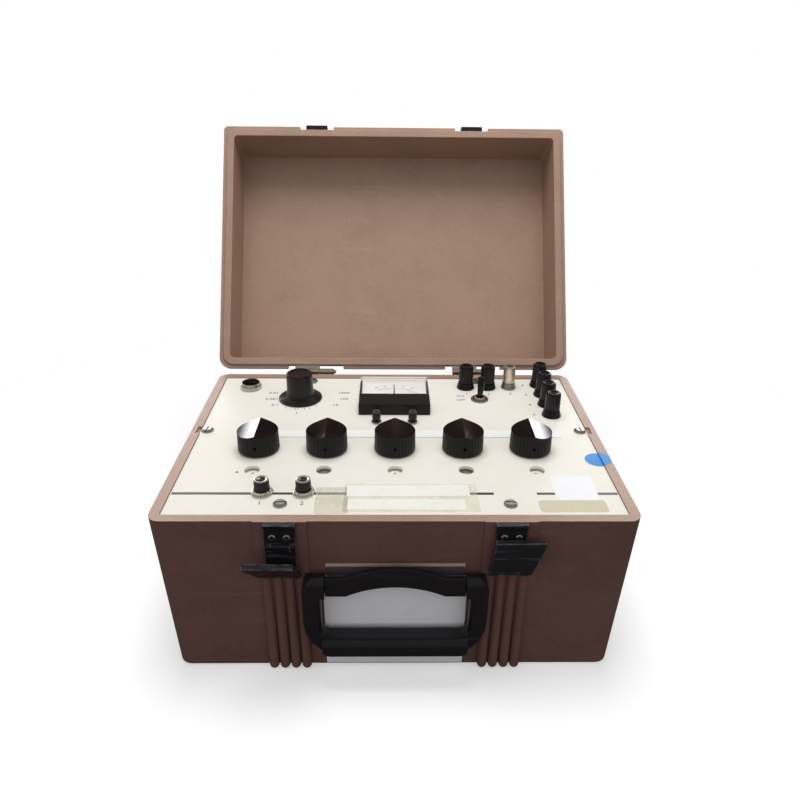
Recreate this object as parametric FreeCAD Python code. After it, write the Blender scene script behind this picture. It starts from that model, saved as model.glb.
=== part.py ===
"""Portable Wheatstone bridge in a moulded carrying case, lid open.

Millimetres. +Z is up, +X is the right-hand side and the front face looks along -Y. The
origin is the middle of the case's underside. Each piece of the instrument is one solid, or
one group of like solids, in its own file.
"""
import FreeCAD
import Part
import math
import os

V = FreeCAD.Vector

# Case base
CASE_W = 317.0
CASE_D = 225.0
BASE_H = 129.0
BASE_DRAFT = 4.5
CASE_CORNER_R = 9.0
BASE_WALL = 4.0
FLOOR_T = 3.5
BOTTOM_EDGE_R = 2.5
RIM_W = 7.0
LEDGE_W = 3.0
LEDGE_H = 8.0
BOSS_R = 5.0
BOSS_SINK = 1.0

# Lid
LID_OUTER_H = 52.0
LID_INNER_H = 49.0
LID_OPEN_ANGLE = 120.4
LID_RIM_GAP = 0.3
LID_RIM_W = 6.5
LID_RIM_T = 2.0
LID_FLANGE_OVER = 3.65
LID_FLANGE_T = 3.0
LID_FLANGE_FRONT_R = 4.0
LID_FLANGE_BACK_R = 11.0
LID_RIM_CORNER_R = 10.0
LID_WALL = 3.2
LID_DRAFT = 1.0
LID_TOP_EDGE_R = 5.0
LID_CAVITY_R = 3.5
LID_CAVITY_DRAFT = 0.5

# Slip-apart hinges
HINGE_BACK = 6.5
HINGE_DROP = 0.2
HINGE_R = 2.8
HINGE_PIN_R = 1.5
HINGE_FIT = 0.05
HINGE_LEFT_X = (-CASE_W / 2 + 67.1, -CASE_W / 2 + 105.1)
HINGE_RIGHT_X = (CASE_W / 2 - 103.9, CASE_W / 2 - 65.9)
HINGE_SPLIT = 22.6
HINGE_END_GAP = 0.4
HINGE_NOTCH_MARGIN = 6.5
HINGE_LEAF_T = 1.5
HINGE_LEAF_DOWN = 21.0
HINGE_LEAF_UP = 21.0

# Panel
PANEL_T = 2.3
PANEL_DEPTH = 1.0
PANEL_GAP = 0.3
PANEL_CORNER_R = 1.5
PANEL_SCREW_R = 4.6
PANEL_SCREW_H = 2.3
PANEL_SCREW_SHANK_R = 1.9
PANEL_SCREW_LEN = 12.0
PANEL_SIDE_SCREW = (CASE_W / 2 - 12.3, 7.0)
PANEL_FRONT_SCREW = (76.0, -CASE_D / 2 + 19.7)
PANEL_BACK_SCREW = (73.2, CASE_D / 2 - 14.0)
SCREW_SLOT = 1.1

# Decade dials
DECADES = 5
DECADE_PITCH = 50.8
DECADE_Y = -20.5
KNOB_R = 15.4
KNOB_TOP_R = 15.1
KNOB_FOOT_EDGE = 1.2
KNOB_H = 18.6
KNOB_LIFT = 0.6
KNOB_RIDGE_H = 2.6
KNOB_SCOOP_SAG = 0.8
KNOB_FLUTES = 36
KNOB_FLUTE_R = 0.7
KNOB_FLUTE_MARGIN = (2.6, 1.0)
KNOB_CROWN_T = 1.2
SHAFT_R = 3.175
SHAFT_FIT = 0.05
WINDOW_DY = -29.7
WINDOW_R = 5.5
DIAL_R = 35.0
DIAL_T = 1.0
DIAL_DROP = (1.6, 3.8)
DIAL_HUB_R = 6.5
DIAL_HUB_H = 4.0

# Switch plate under the dials
PLATE_TOP_DROP = 12.0
PLATE_T = 2.0
PLATE_MARGIN_X = 22.0
PLATE_Y = (-56.0, 17.0)
STANDOFF_R = 3.5
STANDOFF_PLACES = ((-76.2, 12.0), (76.2, 12.0), (-25.4, -51.0), (25.4, -51.0))
SWITCH_R = 19.0
SWITCH_H = 30.0
SPOOL_R = 4.0
SPOOL_H = 20.0
SPOOL_RING_R = 14.0
SPOOLS_EACH = 4
BUSHING_R = 4.7
NUT_AF = 13.0
NUT_H = 2.4

# Multiplier switch
MULT_X = -80.2
MULT_Y = CASE_D / 2 - 47.7
MULT_SKIRT_R = 18.3
MULT_SKIRT_H = 3.4
MULT_GRIP_R = 11.4
MULT_GRIP_TOP_R = 10.9
MULT_H = 23.8
MULT_SWITCH_H = 34.0

# Galvanometer
METER_X = 29.4
METER_Y = (CASE_D / 2 - 78.3, CASE_D / 2 - 22.5)
METER_HOOD_Y = METER_Y[0] + 20.8
METER_H = 9.6
METER_BASE_T = 2.0
METER_WALL = 1.6
METER_COVER_FIT = 0.1
METER_CAN_INSET = (5.4, 1.8)
METER_CAN_DEPTH = 30.0
MAGNET_R = 10.4
MAGNET_BORE_R = 7.0
COIL_HALF = 4.6
NEEDLE_Y = METER_Y[0] + 14.3
NEEDLE_TIP_Y = METER_Y[1] - 11.0
SCALE_LIFT = 3.0
SCALE_T = 0.8
NEEDLE_LIFT = 5.2
NEEDLE_T = 0.7

# Keys
KEY_X = (-89.8, -61.9)
KEY_Y = -CASE_D / 2 + 33.3
KEY_CAP_R = 5.2
KEY_TOP = 11.4
KEY_TRAVEL = 2.5
KEY_FLANGE_R = 7.5
KEY_FLANGE_H = 1.6
KEY_COLLAR_R = 6.3
KEY_COLLAR_H = 3.6
KEY_THREAD_R = 5.9
KEY_THREAD_LEN = 8.0
KEY_STEM_R = 2.0
KEY_BLOCK = 15.0
KEY_BLOCK_H = 11.0
KEY_FIT = 0.15

# Small galvanometer buttons
BUTTON_X = 14.5
BUTTON_Y = 21.6
BUTTON_R = 3.5
BUTTON_TOP = 10.2
BUTTON_TRAVEL = 2.0
BUTTON_FLANGE_R = 4.4
BUTTON_FLANGE_H = 1.5
BUTTON_THREAD_R = 3.3
BUTTON_STEM_R = 1.2
BUTTON_BODY_R = 4.6
BUTTON_BODY_H = 11.0

# Toggle switch
TOGGLE_X = 73.4
TOGGLE_Y = CASE_D / 2 - 49.1
TOGGLE_FLANGE_R = 7.5
TOGGLE_FLANGE_H = 1.5
TOGGLE_NECK_R = 4.6
TOGGLE_NECK_H = 3.2
TOGGLE_TILT = 15.0
TOGGLE_TURN = 18.0
TOGGLE_LEN = 20.6
TOGGLE_BASE_R = 2.0
TOGGLE_TIP_R = 3.5
TOGGLE_BALL_R = 2.6
TOGGLE_BODY = (13.0, 27.0, 16.0)

# Binding posts
POST_PITCH = 19.05
POST_ROW_Y = CASE_D / 2 - 24.9
POST_ROW_MID_X = 82.7
POST_COL_X = CASE_W / 2 - 29.2
POST_COL_MID_Y = CASE_D / 2 - 49.2
POST_H = 21.3
POST_FOOT_R = 7.8
POST_FOOT_H = 6.0
POST_CAP_R = 6.2
POST_STUD_R = 3.0
POST_JACK_R = 2.05
POST_JACK_DEPTH = 15.0
POST_FIT = 0.05
POST_REST_GAP = 0.3
POST_STEM_R = 4.1
POST_TAIL = 14.0
METAL_POST_SCALE = 0.84

# Round socket
SOCKET_X = -CASE_W / 2 + 32.5
SOCKET_Y = CASE_D / 2 - 27.4
SOCKET_R = 9.2
SOCKET_H = 4.4
SOCKET_LIP_R = 8.3
SOCKET_LIP_H = 5.8
SOCKET_BORE_R = 7.2
SOCKET_BORE_DEPTH = 8.0
SOCKET_PIN_R = 0.8
SOCKET_PIN_RING = 3.6
SOCKET_PIN_H = 3.0
SOCKET_TAIL = 16.0

# Front latches
LATCH_X = 73.8
LATCH_PAD_W = 34.0
LATCH_PAD_OUT = 0.8
LATCH_PAD_DOWN = 40.6
LATCH_W = 20.2
LATCH_PLATE_T = 2.5
LATCH_LIP_OUT = 4.0
LATCH_LIP_T = 1.6
LATCH_LIP_DROP = 0.2
LATCH_HINGE_DOWN = 17.5
LATCH_HINGE_OUT = 2.4
LATCH_KNUCKLE_R = 2.0
LATCH_PIN_R = 0.9
LATCH_PIN_FIT = 0.05
LATCH_EAR_W = 4.0
LATCH_LINK_LEN = 19.3
LATCH_LINK_T = 2.2
LATCH_LEVER_LEN = 26.3
LATCH_LEVER_T = 3.6
LATCH_LEVER_OFF = 1.6
LATCH_LEVER_CLEAR = 0.4
LATCH_LEVER_FOOT = (-13.4, 14.4)
LATCH_LEVER_HEAD = (-10.2, 21.8)
LATCH_FIT = 0.1
LATCH_LEFT_REST = 141.0
LATCH_RIGHT_REST = 178.0
LATCH_SCREW_R = 2.4
LATCH_SCREW_DX = 4.6
LATCH_SCREW_DOWN = 10.0
CATCH_NOTCH_GAP = 5.6
CATCH_OUT = 4.4
RIB_PITCH = 7.7
RIB_R = 3.4
RIB_LIFT = 0.6
RIB_COUNT = 4
RIB_FRONT_OUT = 1.0

# Handle
HANDLE_PIVOT_DOWN = 44.8
HANDLE_PIVOT_OUT = 5.7
HANDLE_HALF_W = 61.6
HANDLE_ARM_W = 12.4
HANDLE_ARM_T = 11.8
HANDLE_EDGE_R = 4.0
HANDLE_SHOULDER_R = 15.5
HANDLE_SHOULDER_H = 9.0
HANDLE_GRIP_DROP = 52.2
HANDLE_GRIP_T = 20.0
HANDLE_GRIP_W = 17.0
HANDLE_GRIP_EDGE_R = 5.5
HANDLE_GRIP_OUT = 2.6
HANDLE_GRIP_INSET = 4.5
HANDLE_CORNER_R = 30.0
HANDLE_INNER_R = 6.0
HANDLE_STUB_R = 2.2
HANDLE_STUB_LEN = 8.5
HANDLE_FIT = 0.1
HANDLE_SIDE_GAP = 0.4
BRACKET_HALF_W = 46.0
BRACKET_BOSS_W = 13.5
BRACKET_BOSS_H = 14.6
BRACKET_MID_DOWN = 46.0
BRACKET_BACK_H = 5.2
BRACKET_OUT = 4.0
BRACKET_ARCH_RISE = 7.6
BRACKET_ARCH_T = 3.6

# Instruction card on the front
CARD_W = 96.5
CARD_HEAD_W = 92.0
CARD_T = 0.4
CARD_TOP_DOWN = 34.6
CARD_SPLIT_DOWN = 45.0
CARD_LOW_Z = 2.6

# Batteries
CELL_R = 16.6
CELL_L = 61.0
CELL_COUNT = 3
CELL_PITCH = 34.5
HOLDER_X = 35.0
HOLDER_Y = 50.0
HOLDER_WALL = 2.0
HOLDER_H = 24.0

PANEL_TOP = BASE_H - PANEL_DEPTH
PANEL_LOW = PANEL_TOP - PANEL_T
HINGE_Y = CASE_D / 2 + HINGE_BACK
HINGE_Z = BASE_H - HINGE_DROP
DRAFT_ANGLE = math.degrees(math.atan2(BASE_DRAFT, BASE_H))
PAD_Y = -CASE_D / 2 - LATCH_PAD_OUT
LATCH_PAD_LOW = BASE_H - LATCH_PAD_DOWN
LATCH_HINGE_Z = BASE_H - LATCH_HINGE_DOWN
LATCH_SCREW_Z = BASE_H - LATCH_SCREW_DOWN
HANDLE_PIVOT_Y = -CASE_D / 2 - HANDLE_PIVOT_OUT
HANDLE_PIVOT_Z = BASE_H - HANDLE_PIVOT_DOWN
BRACKET_MID_Z = BASE_H - BRACKET_MID_DOWN
CARD_TOP_Z = BASE_H - CARD_TOP_DOWN
CARD_SPLIT_Z = BASE_H - CARD_SPLIT_DOWN
PARTS = {}
SWITCHES = []
NUTS = []


def box(x0, x1, y0, y1, z0, z1):
    """A block between two corners."""
    return Part.makeBox(x1 - x0, y1 - y0, z1 - z0, V(x0, y0, z0))


def cyl(r, z0, z1, x=0.0, y=0.0):
    """An upright cylinder."""
    return Part.makeCylinder(r, z1 - z0, V(x, y, z0))


def tube(r_out, r_in, z0, z1, x=0.0, y=0.0):
    """An upright tube."""
    return cyl(r_out, z0, z1, x, y).cut(cyl(r_in, z0 - 1, z1 + 1, x, y))


def cyl_x(r, x0, x1, y, z):
    """A cylinder along X."""
    return Part.makeCylinder(r, x1 - x0, V(x0, y, z), V(1, 0, 0))


def cyl_y(r, y0, y1, x, z):
    """A cylinder along Y."""
    return Part.makeCylinder(r, y1 - y0, V(x, y0, z), V(0, 1, 0))


def face_of(points):
    """A flat face through a closed row of points."""
    return Part.Face(Part.makePolygon(points + [points[0]]))


def prism_x(points, x0, x1):
    """An outline of (y, z) points swept along X."""
    return face_of([V(x0, y, z) for y, z in points]).extrude(V(x1 - x0, 0, 0))


def prism_y(points, y0, y1):
    """An outline of (x, z) points swept along Y."""
    return face_of([V(x, y0, z) for x, z in points]).extrude(V(0, y1 - y0, 0))


def turned(points, x=0.0, y=0.0):
    """A body turned from an outline of (radius, z) points about an upright axis."""
    outline = face_of([V(r, 0, z) for r, z in points])
    solid = outline.revolve(V(0, 0, 0), V(0, 0, 1), 360)
    solid.translate(V(x, y, 0))
    return solid


def hexagon(across, z0, z1, x, y, bore):
    """A hexagon nut with a plain bore."""
    r = across / math.sqrt(3)
    points = [V(x + r * math.cos(k * math.pi / 3), y + r * math.sin(k * math.pi / 3), z0) for k in range(6)]
    return face_of(points).extrude(V(0, 0, z1 - z0)).cut(cyl(bore, z0 - 1, z1 + 1, x, y))


def rounded_wire(half_w, half_d, r, z):
    """A rectangle outline with round corners, centred on Z."""
    edges = []
    diag = r * math.sqrt(0.5)
    corners = ((1, 1), (-1, 1), (-1, -1), (1, -1))
    for k, (sx, sy) in enumerate(corners):
        cx = sx * (half_w - r)
        cy = sy * (half_d - r)
        along_x = V(cx + sx * r, cy, z)
        along_y = V(cx, cy + sy * r, z)
        middle = V(cx + sx * diag, cy + sy * diag, z)
        first, last = (along_x, along_y) if k % 2 == 0 else (along_y, along_x)
        if edges:
            edges.append(Part.makeLine(edges[-1].Vertexes[-1].Point, first))
        edges.append(Part.Arc(first, middle, last).toShape())
    edges.append(Part.makeLine(edges[-1].Vertexes[-1].Point, edges[0].Vertexes[0].Point))
    return Part.Wire(edges)


def rounded_block(half_w, half_d, r, z0, z1, grow=0.0):
    """An upright block with round corners that grows by a draft towards its top."""
    low = rounded_wire(half_w, half_d, r, z0)
    if grow == 0.0:
        return Part.Face(low).extrude(V(0, 0, z1 - z0))
    return Part.makeLoft([low, rounded_wire(half_w + grow, half_d + grow, r, z1)], True, True)


def joined(shapes):
    """One solid from overlapping or touching shapes."""
    whole = shapes[0].multiFuse(shapes[1:]).removeSplitter()
    return whole.Solids[0] if len(whole.Solids) == 1 else whole


def without(shape, cutters):
    """A shape less a list of cutters."""
    return shape.cut(Part.makeCompound(cutters))


def mirrored(shape):
    """The left-hand twin of a right-hand shape."""
    return shape.mirror(V(0, 0, 0), V(1, 0, 0))


def keep(name, *shapes):
    """Files a piece, or a group of like pieces, under its name."""
    solids = []
    for shape in shapes:
        solids.extend(shape.Solids)
    PARTS[name] = solids[0] if len(solids) == 1 else Part.makeCompound(solids)


def opened(shape):
    """A lid piece turned from shut to open about the hinge line."""
    turned_piece = shape.copy()
    turned_piece.rotate(V(0, HINGE_Y, HINGE_Z), V(1, 0, 0), -LID_OPEN_ANGLE)
    return turned_piece


def case_outside():
    """The outer form of the base, before anything is cut from it."""
    half_w = CASE_W / 2 - BASE_DRAFT
    half_d = CASE_D / 2 - BASE_DRAFT
    return rounded_block(half_w, half_d, CASE_CORNER_R, 0, BASE_H, BASE_DRAFT)


def wall_y(z):
    """Where the sloping front wall lies at a height."""
    return -CASE_D / 2 + BASE_DRAFT * (BASE_H - z) / BASE_H


def panel_screw_places():
    """The six panel screws."""
    right = (PANEL_SIDE_SCREW, PANEL_FRONT_SCREW, PANEL_BACK_SCREW)
    return [(side * x, y) for x, y in right for side in (-1, 1)]


def decade_places():
    """Knob axes from left to right."""
    first = -(DECADES - 1) / 2
    return [((first + k) * DECADE_PITCH, DECADE_Y) for k in range(DECADES)]


def post_places():
    """The row of three posts, then the column of four from the back."""
    row = [(POST_ROW_MID_X + (k - 1) * POST_PITCH, POST_ROW_Y) for k in range(3)]
    column = [(POST_COL_X, POST_COL_MID_Y + (1.5 - k) * POST_PITCH) for k in range(4)]
    return row + column


def hinge_spans():
    """Both hinges, as their ends along X."""
    return (HINGE_LEFT_X, HINGE_RIGHT_X)


def rib_shapes():
    """The upright half-round ribs under one latch."""
    y = PAD_Y - RIB_FRONT_OUT + RIB_R + LATCH_PAD_OUT
    first = -(RIB_COUNT - 1) / 2
    foot = RIB_R + RIB_LIFT
    ribs = []
    for k in range(RIB_COUNT):
        x = LATCH_X + (first + k) * RIB_PITCH
        ribs.append(cyl(RIB_R, foot, LATCH_PAD_LOW + 1, x, y).fuse(Part.makeSphere(RIB_R, V(x, y, foot))))
    return ribs


def base_shell():
    """The moulded lower case with its rim, ledge, screw bosses, latch pads and ribs."""
    outside = case_outside()
    low_edges = [e for e in outside.Edges if all(p.Point.z < 0.01 for p in e.Vertexes)]
    outside = outside.makeFillet(BOTTOM_EDGE_R, low_edges)
    half_w = CASE_W / 2
    half_d = CASE_D / 2
    ledge = RIM_W + LEDGE_W
    slope = BASE_DRAFT / BASE_H
    low_w = half_w - BASE_DRAFT - BASE_WALL + slope * FLOOR_T
    low_d = half_d - BASE_DRAFT - BASE_WALL + slope * FLOOR_T
    under = PANEL_LOW - LEDGE_H
    hollow = rounded_block(low_w, low_d, CASE_CORNER_R - BASE_WALL, FLOOR_T, under, slope * (under - FLOOR_T))
    throat = rounded_block(half_w - ledge, half_d - ledge, 2.0, under - 1, PANEL_LOW + 1)
    seat = rounded_block(half_w - RIM_W, half_d - RIM_W, PANEL_CORNER_R + PANEL_GAP, PANEL_LOW, BASE_H + 1)
    shell = without(outside, [hollow, throat, seat])
    added = [cyl(BOSS_R, FLOOR_T - BOSS_SINK, PANEL_LOW, x, y) for x, y in panel_screw_places()]
    half_pad = LATCH_PAD_W / 2
    for side in (1, -1):
        pad = box(LATCH_X - half_pad, LATCH_X + half_pad, PAD_Y, PAD_Y + 4, LATCH_PAD_LOW, BASE_H)
        for piece in [pad] + rib_shapes():
            added.append(piece if side == 1 else mirrored(piece))
    shell = joined([shell] + added)
    holes = [cyl(PANEL_SCREW_SHANK_R, PANEL_LOW - PANEL_SCREW_LEN, PANEL_LOW + 1, x, y)
             for x, y in panel_screw_places()]
    for side in (1, -1):
        for dx in (-LATCH_SCREW_DX, LATCH_SCREW_DX):
            holes.append(cyl_y(1.3, PAD_Y - 1, PAD_Y + 7, side * LATCH_X + dx, LATCH_SCREW_Z))
        x = side * (half_w - RIM_W + 1.5)
        y = PANEL_SIDE_SCREW[1]
        holes.append(box(x - 1.6, x + 1.6, y - 5, y + 5, PANEL_TOP - 0.6, BASE_H + 1))
    keep("base_shell", without(shell, holes))


def panel():
    """The instrument panel with every opening in it."""
    half_w = CASE_W / 2 - RIM_W - PANEL_GAP
    half_d = CASE_D / 2 - RIM_W - PANEL_GAP
    plate = rounded_block(half_w, half_d, PANEL_CORNER_R, PANEL_LOW, PANEL_TOP)
    low = PANEL_LOW - 1
    top = PANEL_TOP + 1
    holes = [cyl(PANEL_SCREW_SHANK_R + 0.4, low, top, x, y) for x, y in panel_screw_places()]
    for x, y in decade_places():
        holes.append(cyl(SHAFT_R + 0.8, low, top, x, y))
        holes.append(cyl(WINDOW_R, low, top, x, y + WINDOW_DY))
    holes.append(cyl(BUSHING_R + 0.1, low, top, MULT_X, MULT_Y))
    holes.append(meter_can(0.3, low, top))
    for x in KEY_X:
        holes.append(cyl(KEY_THREAD_R + 0.1, low, top, x, KEY_Y))
    for x in (-BUTTON_X, BUTTON_X):
        holes.append(cyl(BUTTON_THREAD_R + 0.1, low, top, x, BUTTON_Y))
    holes.append(cyl(TOGGLE_NECK_R + 0.1, low, top, TOGGLE_X, TOGGLE_Y))
    holes.append(cyl(SOCKET_LIP_R - 0.2, low, top, SOCKET_X, SOCKET_Y))
    for x, y in post_places():
        holes.append(cyl(POST_STEM_R + 0.1, low, top, x, y))
    keep("panel", without(plate, holes))


def slotted_screw(x, y, seat_z, angle):
    """A slotted pan-head screw standing on a face."""
    r = PANEL_SCREW_R
    h = PANEL_SCREW_H
    brow = seat_z + h * 0.45
    head = turned([(0, seat_z), (r, seat_z), (r, brow), (r * 0.72, seat_z + h), (0, seat_z + h)], x, y)
    shank = cyl(PANEL_SCREW_SHANK_R - 0.05, seat_z - PANEL_SCREW_LEN + 1, seat_z + 0.5, x, y)
    slot = box(x - r - 1, x + r + 1, y - SCREW_SLOT / 2, y + SCREW_SLOT / 2, brow, seat_z + h + 1)
    slot.rotate(V(x, y, 0), V(0, 0, 1), angle)
    return head.fuse(shank).cut(slot)


def panel_screws():
    """Six slotted screws that hold the panel down."""
    angles = (82, 96, 8, 172, 40, 115)
    places = zip(panel_screw_places(), angles)
    keep("panel_screws", *[slotted_screw(x, y, PANEL_TOP, angle) for (x, y), angle in places])


def knob_scoops(x, y, top):
    """Two shallow round cuts that leave a ridge from front to back."""
    rim = top - KNOB_RIDGE_H
    chord = math.hypot(KNOB_TOP_R, KNOB_RIDGE_H)
    radius = chord ** 2 / (8 * KNOB_SCOOP_SAG) + KNOB_SCOOP_SAG / 2
    reach = radius - KNOB_SCOOP_SAG
    dx = KNOB_TOP_R / 2 + reach * KNOB_RIDGE_H / chord
    z = (top + rim) / 2 + reach * KNOB_TOP_R / chord
    return [cyl_y(radius, y - KNOB_R - 1, y + KNOB_R + 1, x + side * dx, z) for side in (-1, 1)]


def shaft_top():
    """Where a decade shaft ends inside its knob."""
    return PANEL_TOP + KNOB_H - KNOB_RIDGE_H - KNOB_CROWN_T


def decade_knob(x, y):
    """A fluted knob whose top is two scoops that meet in a ridge, bored for the shaft."""
    low = PANEL_TOP + KNOB_LIFT
    top = PANEL_TOP + KNOB_H
    bore = SHAFT_R + SHAFT_FIT
    body = turned([(bore, low), (KNOB_R - KNOB_FOOT_EDGE, low), (KNOB_R, low + KNOB_FOOT_EDGE),
                   (KNOB_TOP_R, top - KNOB_RIDGE_H), (KNOB_TOP_R, top), (0, top), (0, shaft_top()),
                   (bore, shaft_top())], x, y)
    body = without(body, knob_scoops(x, y, top))
    up, down = KNOB_FLUTE_MARGIN
    flute_low = low + up
    flute_top = top - KNOB_RIDGE_H - down
    r = KNOB_R + KNOB_FLUTE_R * 0.4
    flutes = []
    for k in range(KNOB_FLUTES):
        a = (k + 0.5) * 2 * math.pi / KNOB_FLUTES
        flutes.append(cyl(KNOB_FLUTE_R, flute_low, flute_top, x + r * math.cos(a), y + r * math.sin(a)))
    return without(body, flutes)


def dial_level(k):
    """Neighbouring dials run at two depths, since they overlap."""
    return PANEL_LOW - DIAL_DROP[k % 2]


def decade_dial(k, x, y):
    """A number disc and its hub on the switch shaft."""
    top = dial_level(k)
    plate_top = PANEL_LOW - PLATE_TOP_DROP
    disc = cyl(DIAL_R, top - DIAL_T, top, x, y)
    hub = cyl(DIAL_HUB_R, top - DIAL_T - DIAL_HUB_H, top, x, y)
    shaft_low = plate_top - PLATE_T - SWITCH_H + 6
    shaft = cyl(SHAFT_R, shaft_low, shaft_top() - SHAFT_FIT, x, y)
    return joined([disc, hub, shaft])


def decades():
    """Five knobs and five dials."""
    for k, (x, y) in enumerate(decade_places()):
        keep("decade_knob_%d" % (k + 1), decade_knob(x, y))
        keep("decade_dial_%d" % (k + 1), decade_dial(k, x, y))


def switch_plate():
    """The plate that carries the five decade switches, with standoffs staked into it."""
    top = PANEL_LOW - PLATE_TOP_DROP
    reach = (DECADES - 1) / 2 * DECADE_PITCH + PLATE_MARGIN_X
    plate = box(-reach, reach, PLATE_Y[0], PLATE_Y[1], top - PLATE_T, top)
    holes = [cyl(BUSHING_R + 0.1, top - PLATE_T - 1, top + 1, x, y) for x, y in decade_places()]
    posts = [cyl(STANDOFF_R, top - PLATE_T, PANEL_LOW, x, y) for x, y in STANDOFF_PLACES]
    keep("switch_plate", joined([without(plate, holes)] + posts))


def rotary_switch(x, y, seat_z, height, reach_up):
    """A switch body with its threaded bushing."""
    body = cyl(SWITCH_R, seat_z - height, seat_z, x, y)
    neck = cyl(BUSHING_R, seat_z, seat_z + reach_up, x, y)
    bore = cyl(SHAFT_R + SHAFT_FIT, seat_z - height + 3, seat_z + reach_up + 1, x, y)
    return joined([body, neck]).cut(bore)


def decade_switches():
    """Five rotary switches under the plate, their nuts and the resistor spools under them."""
    seat = PANEL_LOW - PLATE_TOP_DROP - PLATE_T
    reach_up = PLATE_T + NUT_H + 0.4
    bodies = []
    nuts = []
    spools = []
    for x, y in decade_places():
        bodies.append(rotary_switch(x, y, seat, SWITCH_H, reach_up))
        nuts.append(hexagon(NUT_AF, seat + PLATE_T, seat + PLATE_T + NUT_H, x, y, BUSHING_R))
        for n in range(SPOOLS_EACH):
            a = (n + 0.5) * 2 * math.pi / SPOOLS_EACH
            sx = x + SPOOL_RING_R * math.cos(a)
            sy = y + SPOOL_RING_R * math.sin(a)
            spools.append(cyl(SPOOL_R, seat - SWITCH_H - SPOOL_H, seat - SWITCH_H, sx, sy))
    SWITCHES.extend(bodies)
    NUTS.extend(nuts)
    keep("resistor_spools", *spools)


def multiplier():
    """The ratio switch: a tall skirted knob, its shaft, body and nut."""
    low = PANEL_TOP + NUT_H + 1.6
    seat = PANEL_TOP + 0.5
    top = PANEL_TOP + MULT_H
    bore = SHAFT_R + SHAFT_FIT
    recess = NUT_AF / math.sqrt(3) + 0.8
    knob = turned([(bore, low), (recess, low), (recess, seat), (MULT_SKIRT_R, seat), (MULT_SKIRT_R, seat + 1),
                   (MULT_SKIRT_R - 3.2, seat + MULT_SKIRT_H - 0.6), (MULT_GRIP_R + 0.6, seat + MULT_SKIRT_H),
                   (MULT_GRIP_R, seat + MULT_SKIRT_H + 1.4), (MULT_GRIP_TOP_R, top - 1.0),
                   (MULT_GRIP_TOP_R - 1.0, top), (0, top), (0, top - 4), (bore, top - 4)], MULT_X, MULT_Y)
    keep("multiplier_knob", knob)
    body_top = PANEL_LOW - 0.2
    shaft = cyl(SHAFT_R, body_top - MULT_SWITCH_H + 6, top - 4.2, MULT_X, MULT_Y)
    keep("multiplier_shaft", shaft)
    reach_up = PANEL_TOP + NUT_H + 0.6 - body_top
    SWITCHES.append(rotary_switch(MULT_X, MULT_Y, body_top, MULT_SWITCH_H, reach_up))
    NUTS.append(hexagon(NUT_AF, PANEL_TOP, PANEL_TOP + NUT_H, MULT_X, MULT_Y, BUSHING_R))


def meter_can(gap, low, top):
    """The outline of the part of the meter that hangs through the panel, grown by a gap."""
    half_x = METER_X - METER_CAN_INSET[0] + gap
    inset_y = METER_CAN_INSET[1] - gap
    return box(-half_x, half_x, METER_Y[0] + inset_y, METER_Y[1] - inset_y, low, top)


def meter_housing():
    """The black housing: a tray, a hood over the movement and a deep can."""
    y0, y1 = METER_Y
    floor = PANEL_TOP + METER_BASE_T
    top = PANEL_TOP + METER_H
    deep = PANEL_TOP - METER_CAN_DEPTH
    wall = METER_WALL
    lip = wall + METER_COVER_FIT
    tray = box(-METER_X + lip, METER_X - lip, y0, y1 - lip, PANEL_TOP, floor)
    hood = box(-METER_X, METER_X, y0, METER_HOOD_Y, PANEL_TOP, top)
    proud = [e for e in hood.Edges if e.CenterOfMass.z > top - 0.01 or e.CenterOfMass.y < y0 + 0.01]
    hood = hood.makeFillet(1.0, [e for e in proud if e.CenterOfMass.z > PANEL_TOP + 0.01])
    housing = joined([tray, hood, meter_can(0, deep, floor)])
    inside = box(-METER_X + wall, METER_X - wall, y0 + wall, METER_HOOD_Y + 1, floor, top - wall)
    well = meter_can(-wall, deep + wall, floor + 1)
    low = PANEL_TOP + SCALE_LIFT
    corner_x = METER_X - 3.5
    pillars = [cyl(1.4, floor - 0.5, low, x, y) for x in (-corner_x, corner_x) for y in (y0 + 5, y1 - 5)]
    return joined([without(housing, [inside, well])] + pillars)


def meter_window():
    """The clear cover behind the hood."""
    low = PANEL_TOP
    top = PANEL_TOP + METER_H - 0.2
    y1 = METER_Y[1]
    wall = METER_WALL
    cover = box(-METER_X, METER_X, METER_HOOD_Y, y1, low, top)
    upper = [e for e in cover.Edges if e.CenterOfMass.z > top - 0.01]
    cover = cover.makeFillet(0.8, [e for e in upper if e.CenterOfMass.y > METER_HOOD_Y + 0.01])
    return cover.cut(box(-METER_X + wall, METER_X - wall, METER_HOOD_Y - 1, y1 - wall, low - 1, top - wall))


def galvanometer():
    """The panel meter: housing, clear cover, scale, magnet, coil and needle."""
    y0, y1 = METER_Y
    keep("galvanometer_housing", meter_housing())
    keep("galvanometer_window", meter_window())
    low = PANEL_TOP + SCALE_LIFT
    gap = METER_WALL + 0.3
    scale = box(-METER_X + gap, METER_X - gap, y0 + gap, y1 - gap, low, low + SCALE_T)
    keep("galvanometer_scale", scale.cut(cyl(3.0, low - 1, low + 2, 0, NEEDLE_Y)))
    deck = PANEL_TOP - METER_CAN_DEPTH + METER_WALL
    keep("galvanometer_magnet", tube(MAGNET_R, MAGNET_BORE_R, deck, deck + 20, 0, NEEDLE_Y))
    needle_low = PANEL_TOP + NEEDLE_LIFT
    keep("galvanometer_needle", prism_pointer(needle_low))
    coil_low = deck + 3
    half = COIL_HALF
    outer = box(-half, half, NEEDLE_Y - half, NEEDLE_Y + half, coil_low, coil_low + 16)
    inner = box(-half + 1.6, half - 1.6, NEEDLE_Y - 9, NEEDLE_Y + 9, coil_low + 2, coil_low + 14)
    keep("galvanometer_coil", joined([outer.cut(inner), cyl(0.8, coil_low + 15, needle_low, 0, NEEDLE_Y)]))


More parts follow.
